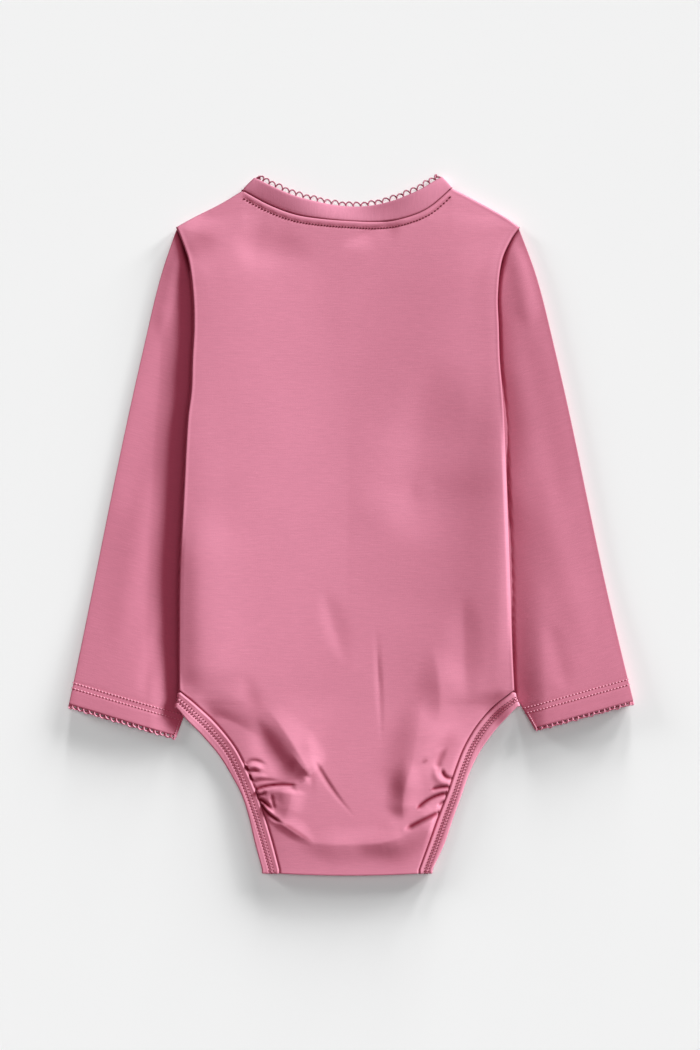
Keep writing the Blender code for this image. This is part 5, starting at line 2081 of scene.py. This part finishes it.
@dataclass(frozen=True)
class Knit(Finish):
    """Fine cotton jersey: ribs of small loops, faint slubs along the courses, soft mottling, and painted
    shade from the mesh's shade layer.
    """

    turn: float = 0.0
    # Near-black rose that painted shade mixes into the cloth's colour.
    painted_shade_colour: Triple = (0.20, 0.006, 0.026)
    wale: float = 0.78
    course: float = 0.66
    drift: float = 1.2
    slant: float = 0.9
    rib_share: float = 0.55
    drift_grain: Grain = Grain((0.05, 0.05, 0.05), 2.0)
    streak_grain: Grain = Grain((0.13, 1.15, 0.6), 3.0, 0.6)
    patch_grain: Grain = Grain((0.035, 0.045, 0.04), 3.0, 0.55)
    fuzz_grain: Grain = Grain((1.9, 1.9, 1.9), 2.0, 0.6)
    streak_tone: float = 1.04
    patch_tone: float = 0.49
    stitch_tone: float = 0.10
    fuzz_tone: float = 0.22
    shades: Pair = (0.915, 1.085)
    slub_zone: Pair = (0.63, 0.75)
    slub_tone: float = 0.22
    pale: Triple = (1.12, 1.3, 1.25)
    roughness: float = 0.92
    loop_gloss: float = 0.08
    loop_bump: float = 0.6
    bump_height: float = 0.16
    bump_parts: Triple = (0.35, 0.5, 0.7)

    def make(self) -> bpy.types.Material:
        """Make the material."""
        sheet = NodeSheet(self.name)
        size = {"Vector": sheet.place(), "Rotation": (0.0, 0.0, -self.turn), "Scale": (1.0 / MM,) * 3}
        flat = sheet.add("ShaderNodeMapping", {"vector_type": "POINT"}, size).outputs[0]
        split = sheet.add("ShaderNodeSeparateXYZ", {}, {0: flat})
        across = Wire(sheet, split.outputs[0])
        along = Wire(sheet, split.outputs[1])
        drift = sheet.noise(flat, self.drift_grain)
        leg = abs((across * (1.0 / self.wale) + drift * self.drift).fraction() - 0.5)
        loops = abs((along * (0.5 / self.course) + leg * self.slant).wave())
        stitch = leg.wave() * (self.rib_share + (1.0 - self.rib_share) * loops)
        streak = sheet.noise(flat, self.streak_grain)
        patch = sheet.noise(flat, self.patch_grain)
        fuzz = sheet.noise(flat, self.fuzz_grain)
        tone = 0.5 + self.streak_tone * (streak - 0.5) + self.patch_tone * (patch - 0.5)
        tone = tone + self.stitch_tone * (stitch - 0.5) + self.fuzz_tone * (fuzz - 0.5)
        cloth = sheet.tint(tone, *(shade(self.colour, factor) for factor in self.shades))
        pale = [min(1.0, part * factor) for part, factor in zip(self.colour, self.pale)]
        cloth = sheet.tint(streak.span(*self.slub_zone) * self.slub_tone, cloth, (*pale, 1.0))
        # Painted shade: the layer mixes the cloth's colour towards the near-black rose.
        depth = sheet.add("ShaderNodeAttribute", {"attribute_name": PAINTED_SHADE_LAYER}, {}).outputs["Fac"]
        height = stitch * self.bump_parts[0] + fuzz * self.bump_parts[1] + streak * self.bump_parts[2]
        return sheet.surface({
            "Base Color": sheet.tint(depth, cloth, (*self.painted_shade_colour, 1.0)),
            "Roughness": self.roughness - self.loop_gloss * stitch,
            "Normal": sheet.relief(self.loop_bump, self.bump_height, height),
            "Specular IOR Level": 0.12,
        })


@dataclass(frozen=True)
class SpunThread(Finish):
    """Spun thread: fine fibres and a little sheen."""

    grain: float = 0.55
    broad_share: float = 0.06
    fine_tone: float = 0.7
    broad_tone: float = 0.5
    shades: Pair = (0.82, 1.16)
    roughness: float = 0.75
    fibre_roughness: float = 0.15
    bump: float = 0.4
    bump_height: float = 0.1

    def make(self) -> bpy.types.Material:
        """Make the material."""
        sheet = NodeSheet(self.name)
        place = sheet.place()
        scale = 1.0 / (self.grain * MM)
        fine = sheet.noise(place, Grain((scale,) * 3, 3.0, 0.6))
        broad = sheet.noise(place, Grain((scale * self.broad_share,) * 3, 1.0))
        tone = 0.5 + self.fine_tone * (fine - 0.5) + self.broad_tone * (broad - 0.5)
        return sheet.surface({
            "Base Color": sheet.tint(tone, *(shade(self.colour, factor) for factor in self.shades)),
            "Roughness": self.roughness + self.fibre_roughness * fine,
            "Normal": sheet.relief(self.bump, self.bump_height, fine),
            "Sheen Weight": 0.2,
            "Sheen Roughness": 0.5,
            "Specular IOR Level": 0.3,
        })


@dataclass(frozen=True)
class MouldedCap(Finish):
    """Satin moulded snap cap with a fine pebbled skin."""

    pebbles: Grain = Grain((2400.0, 2400.0, 2400.0), 2.0)
    wear: Grain = Grain((260.0, 260.0, 260.0), 3.0)
    shades: Pair = (0.94, 1.05)
    roughness: float = 0.34
    worn_roughness: float = 0.16
    bump: float = 0.12
    bump_height: float = 0.05

    def make(self) -> bpy.types.Material:
        """Make the material."""
        sheet = NodeSheet(self.name)
        place = sheet.place()
        wear = sheet.noise(place, self.wear)
        return sheet.surface({
            "Base Color": sheet.tint(wear, *(shade(self.colour, factor) for factor in self.shades)),
            "Roughness": self.roughness + self.worn_roughness * wear,
            "Normal": sheet.relief(self.bump, self.bump_height, sheet.noise(place, self.pebbles)),
            "Coat Weight": 0.1,
        })


@dataclass(frozen=True)
class PaleFloor(Finish):
    """Plain pale studio floor."""

    cloud: Grain = Grain((6.0, 6.0, 6.0), 1.0)
    shades: Pair = (0.997, 1.003)

    def make(self) -> bpy.types.Material:
        """Make the material."""
        sheet = NodeSheet(self.name)
        cloud = sheet.noise(sheet.place(), self.cloud)
        colour = sheet.tint(cloud, *(shade(self.colour, factor) for factor in self.shades))
        return sheet.surface({"Base Color": colour, "Roughness": 1.0, "Specular IOR Level": 0.0})


class Garment:
    """The whole bodysuit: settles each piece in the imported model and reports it."""

    def __init__(self, thread: Finish, pale_thread: Finish, loop_thread: Finish, cuff_thread: Finish) -> None:
        """Keep the threads that several pieces share."""
        self.thread = thread
        self.pale_thread = pale_thread
        self.loop_thread = loop_thread
        self.cuff_thread = cuff_thread
        self.made: dict[str, bpy.types.Material] = {}

    def settle(self, item: bpy.types.Object, slot: Slot, finish: Finish, *nodes: str) -> None:
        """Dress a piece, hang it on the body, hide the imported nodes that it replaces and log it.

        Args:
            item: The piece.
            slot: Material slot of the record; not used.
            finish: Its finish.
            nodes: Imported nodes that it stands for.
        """
        if finish.name not in self.made:
            self.made[finish.name] = finish.make()
        item.data.materials.clear()
        item.data.materials.append(self.made[finish.name])
        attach(item, BODY)
        if nodes:
            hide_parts(*nodes)
        faces = len(item.data.polygons)
        replaced = ", ".join(nodes) or "nothing"
        LOG.info("%s: %d faces, finish %s, replaces %s", item.name, faces, finish.name, replaced)


class Lit(Enum):
    """What a lamp is flagged to light."""

    GARMENT = "garment"
    FLOOR = "floor"


@dataclass(frozen=True)
class Lamp:
    """Far lamp: where it stands, the light it gives a flat surface, its width and what it lights."""

    name: str
    azimuth: float
    elevation: float
    flat_light: float
    width: float
    lit: Lit
    colour: Triple = (1.0, 1.0, 1.0)


@dataclass
class Studio:
    """Floor, lamps and camera."""

    floor_finish: Finish
    floor_size: float = 24.0
    floor_drop: float = 0.4
    view_x: float = 350.0
    view_y: float = 525.0
    drawing_zero: Pair = (350.0, 524.5)
    view_pixel: float = 0.62
    view_height: int = 1050
    lens: float = 85.0
    sensor: float = 36.0
    clip: Pair = (0.01, 20.0)
    subject_height: float = 6.0
    sky: float = 0.127
    lamps: tuple[Lamp, ...] = (
        Lamp("window", 36.0, 19.0, 1.54, 16.0, Lit.GARMENT, (0.80, 1.036, 0.99)),
        Lamp("key", 26.0, 25.0, 0.88, 16.0, Lit.GARMENT, (0.80, 1.036, 0.99)),
        Lamp("cloth_glow", 50.0, 85.0, 0.70, 120.0, Lit.GARMENT, (0.98, 0.18, 0.34)),
        Lamp("low_screen_left", 148.0, 12.0, 0.34, 15.0, Lit.FLOOR),
        Lamp("low_screen_up", 86.0, 7.5, 0.44, 13.0, Lit.FLOOR),
        Lamp("low_screen", 62.0, 9.0, 0.48, 14.0, Lit.FLOOR),
        Lamp("low_screen_right", 38.0, 10.0, 0.46, 15.0, Lit.FLOOR),
        Lamp("ceiling", 62.0, 80.0, 0.88, 40.0, Lit.FLOOR),
    )

    def build(self) -> None:
        """Make the floor, the lamps, the sky and the camera."""
        groups = {lit: bpy.data.collections.new("lit_" + lit.value) for lit in Lit}
        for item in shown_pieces():
            groups[Lit.GARMENT].objects.link(item)
        groups[Lit.FLOOR].objects.link(self.add_floor())
        for lamp in self.lamps:
            self.add_lamp(lamp).light_linking.receiver_collection = groups[lamp.lit]
        world = bpy.data.worlds.new("sky")
        world.use_nodes = True
        background = world.node_tree.nodes["Background"]
        background.inputs["Color"].default_value = (1.0, 1.0, 1.0, 1.0)
        background.inputs["Strength"].default_value = self.sky
        bpy.context.scene.world = world
        self.add_camera()
        bpy.context.scene.view_settings.view_transform = "Standard"

    def add_floor(self) -> bpy.types.Object:
        """Make the floor under the garment."""
        half = 0.5 * self.floor_size / MM
        low = -self.floor_drop
        corners = np.array([[-half, -half, low], [half, -half, low], [half, half, low], [-half, half, low]])
        floor = make_object("floor", corners, [(0, 1, 2, 3)])
        floor.data.materials.append(self.floor_finish.make())
        floor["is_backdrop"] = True
        return floor

    def add_lamp(self, lamp: Lamp) -> bpy.types.Object:
        """Make one far lamp, its azimuth counted from +X towards +Y."""
        light = bpy.data.lights.new(lamp.name, "SUN")
        light.energy = lamp.flat_light / math.sin(math.radians(lamp.elevation))
        light.angle = math.radians(lamp.width)
        light.color = lamp.colour
        item = bpy.data.objects.new(lamp.name, light)
        tilt = math.radians(90.0 - lamp.elevation)
        item.rotation_euler = (0.0, tilt, math.radians(lamp.azimuth))
        bpy.context.scene.collection.objects.link(item)
        return item

    def add_camera(self) -> None:
        """Make the camera straight above the middle of the view."""
        data = bpy.data.cameras.new("camera")
        data.lens = self.lens
        data.sensor_fit = "AUTO"
        data.sensor_width = self.sensor
        data.clip_start, data.clip_end = self.clip
        camera = bpy.data.objects.new("camera", data)
        seen = self.view_height * self.view_pixel * MM
        distance = seen * self.lens / self.sensor
        x = (self.view_x - self.drawing_zero[0]) * self.view_pixel - ORIGIN_X
        y = (self.drawing_zero[1] - self.view_y) * self.view_pixel - ORIGIN_Y
        camera.location = (x * MM, y * MM, distance + self.subject_height * MM)
        bpy.context.scene.collection.objects.link(camera)
        bpy.context.scene.camera = camera


DUSTY_ROSE = (0.70, 0.238, 0.338)
# Darker copy of the body's rose for the sleeves: painted shade.
SLEEVE_SHADED_ROSE = (0.64, 0.204, 0.294)
DEEP_ROSE = (0.65, 0.224, 0.32)
# Lighter copy of the body's rose for the leg bindings: painted light.
LEG_LIT_ROSE = (0.75, 0.265, 0.37)
# Dark and pale copies of one rose thread: painted shade on the seam stitches, painted light on the cuff
# stitches.
SHADED_THREAD_ROSE = (0.26, 0.045, 0.08)
LIT_THREAD_ROSE = (0.78, 0.33, 0.43)
# Dark and pale copies of one picot thread: painted shade on the neck loops, painted light on the cuff loops.
SHADED_LOOP_ROSE = (0.46, 0.12, 0.185)
LIT_LOOP_ROSE = (0.84, 0.32, 0.44)
SNAP_ROSE = (0.70, 0.34, 0.42)
FLOOR_WHITE = (0.93, 0.93, 0.93)
# How far the sleeves' knit leans from the body's.
SLEEVE_LEAN = math.radians(17.0)


def main() -> None:
    logging.basicConfig(level=logging.INFO, format="%(message)s")
    layers = Layers()
    garment = Garment(
        SpunThread("seam_thread", SHADED_THREAD_ROSE),
        SpunThread("hem_thread", LIT_THREAD_ROSE),
        SpunThread("neck_loop_thread", SHADED_LOOP_ROSE),
        SpunThread("cuff_loop_thread", LIT_LOOP_ROSE),
    )
    body_knit = Knit("body_knit", DUSTY_ROSE)
    band_knit = Knit("band_knit", DEEP_ROSE, turn=math.radians(90.0))
    leg_knit = Knit("leg_knit", LEG_LIT_ROSE, turn=math.radians(90.0))
    left_knit = Knit("left_sleeve_knit", SLEEVE_SHADED_ROSE, turn=-SLEEVE_LEAN)
    right_knit = Knit("right_sleeve_knit", SLEEVE_SHADED_ROSE, turn=SLEEVE_LEAN)
    back = BackPanel(layers, body_knit)
    front = FrontPanel(layers, body_knit)
    sleeves = [
        Sleeve(Side.LEFT, left_knit, swell=1.6, swell_reach=17.0, low_reach=20.0,
               armhole_shade=(167.0, 0.45, 2.2)),
        Sleeve(Side.RIGHT, right_knit, swell=3.0, join_low=100.0, join_high=168.0),
    ]
    neckband = Neckband(layers, band_knit)
    bindings = [LegBinding(side, layers, leg_knit) for side in Side]
    snaps = Snaps(MouldedCap("snap_cap", SNAP_ROSE))
    for part in (back, front, *sleeves, neckband, *bindings, snaps):
        part.build()
        part.dress(garment)
    declare_sheets(back, front, sleeves, neckband, bindings)
    Studio(PaleFloor("floor_white", FLOOR_WHITE)).build()


def declare_sheets(
    back: BackPanel, front: FrontPanel, sleeves: list[Sleeve], neckband: Neckband, bindings: list[LegBinding]
) -> None:
    """Say what each sheet of cloth was cut to.

    Args:
        back: The back panel.
        front: The front panel.
        sleeves: Both sleeves.
        neckband: The neckband.
        bindings: Both leg bindings.
    """
    for part in (back, front, *sleeves, neckband, *bindings):
        LOG.info("%s: outer side %.5f m2", part.piece.name, part.cloth.area())


if __name__ == "__main__":
    main()
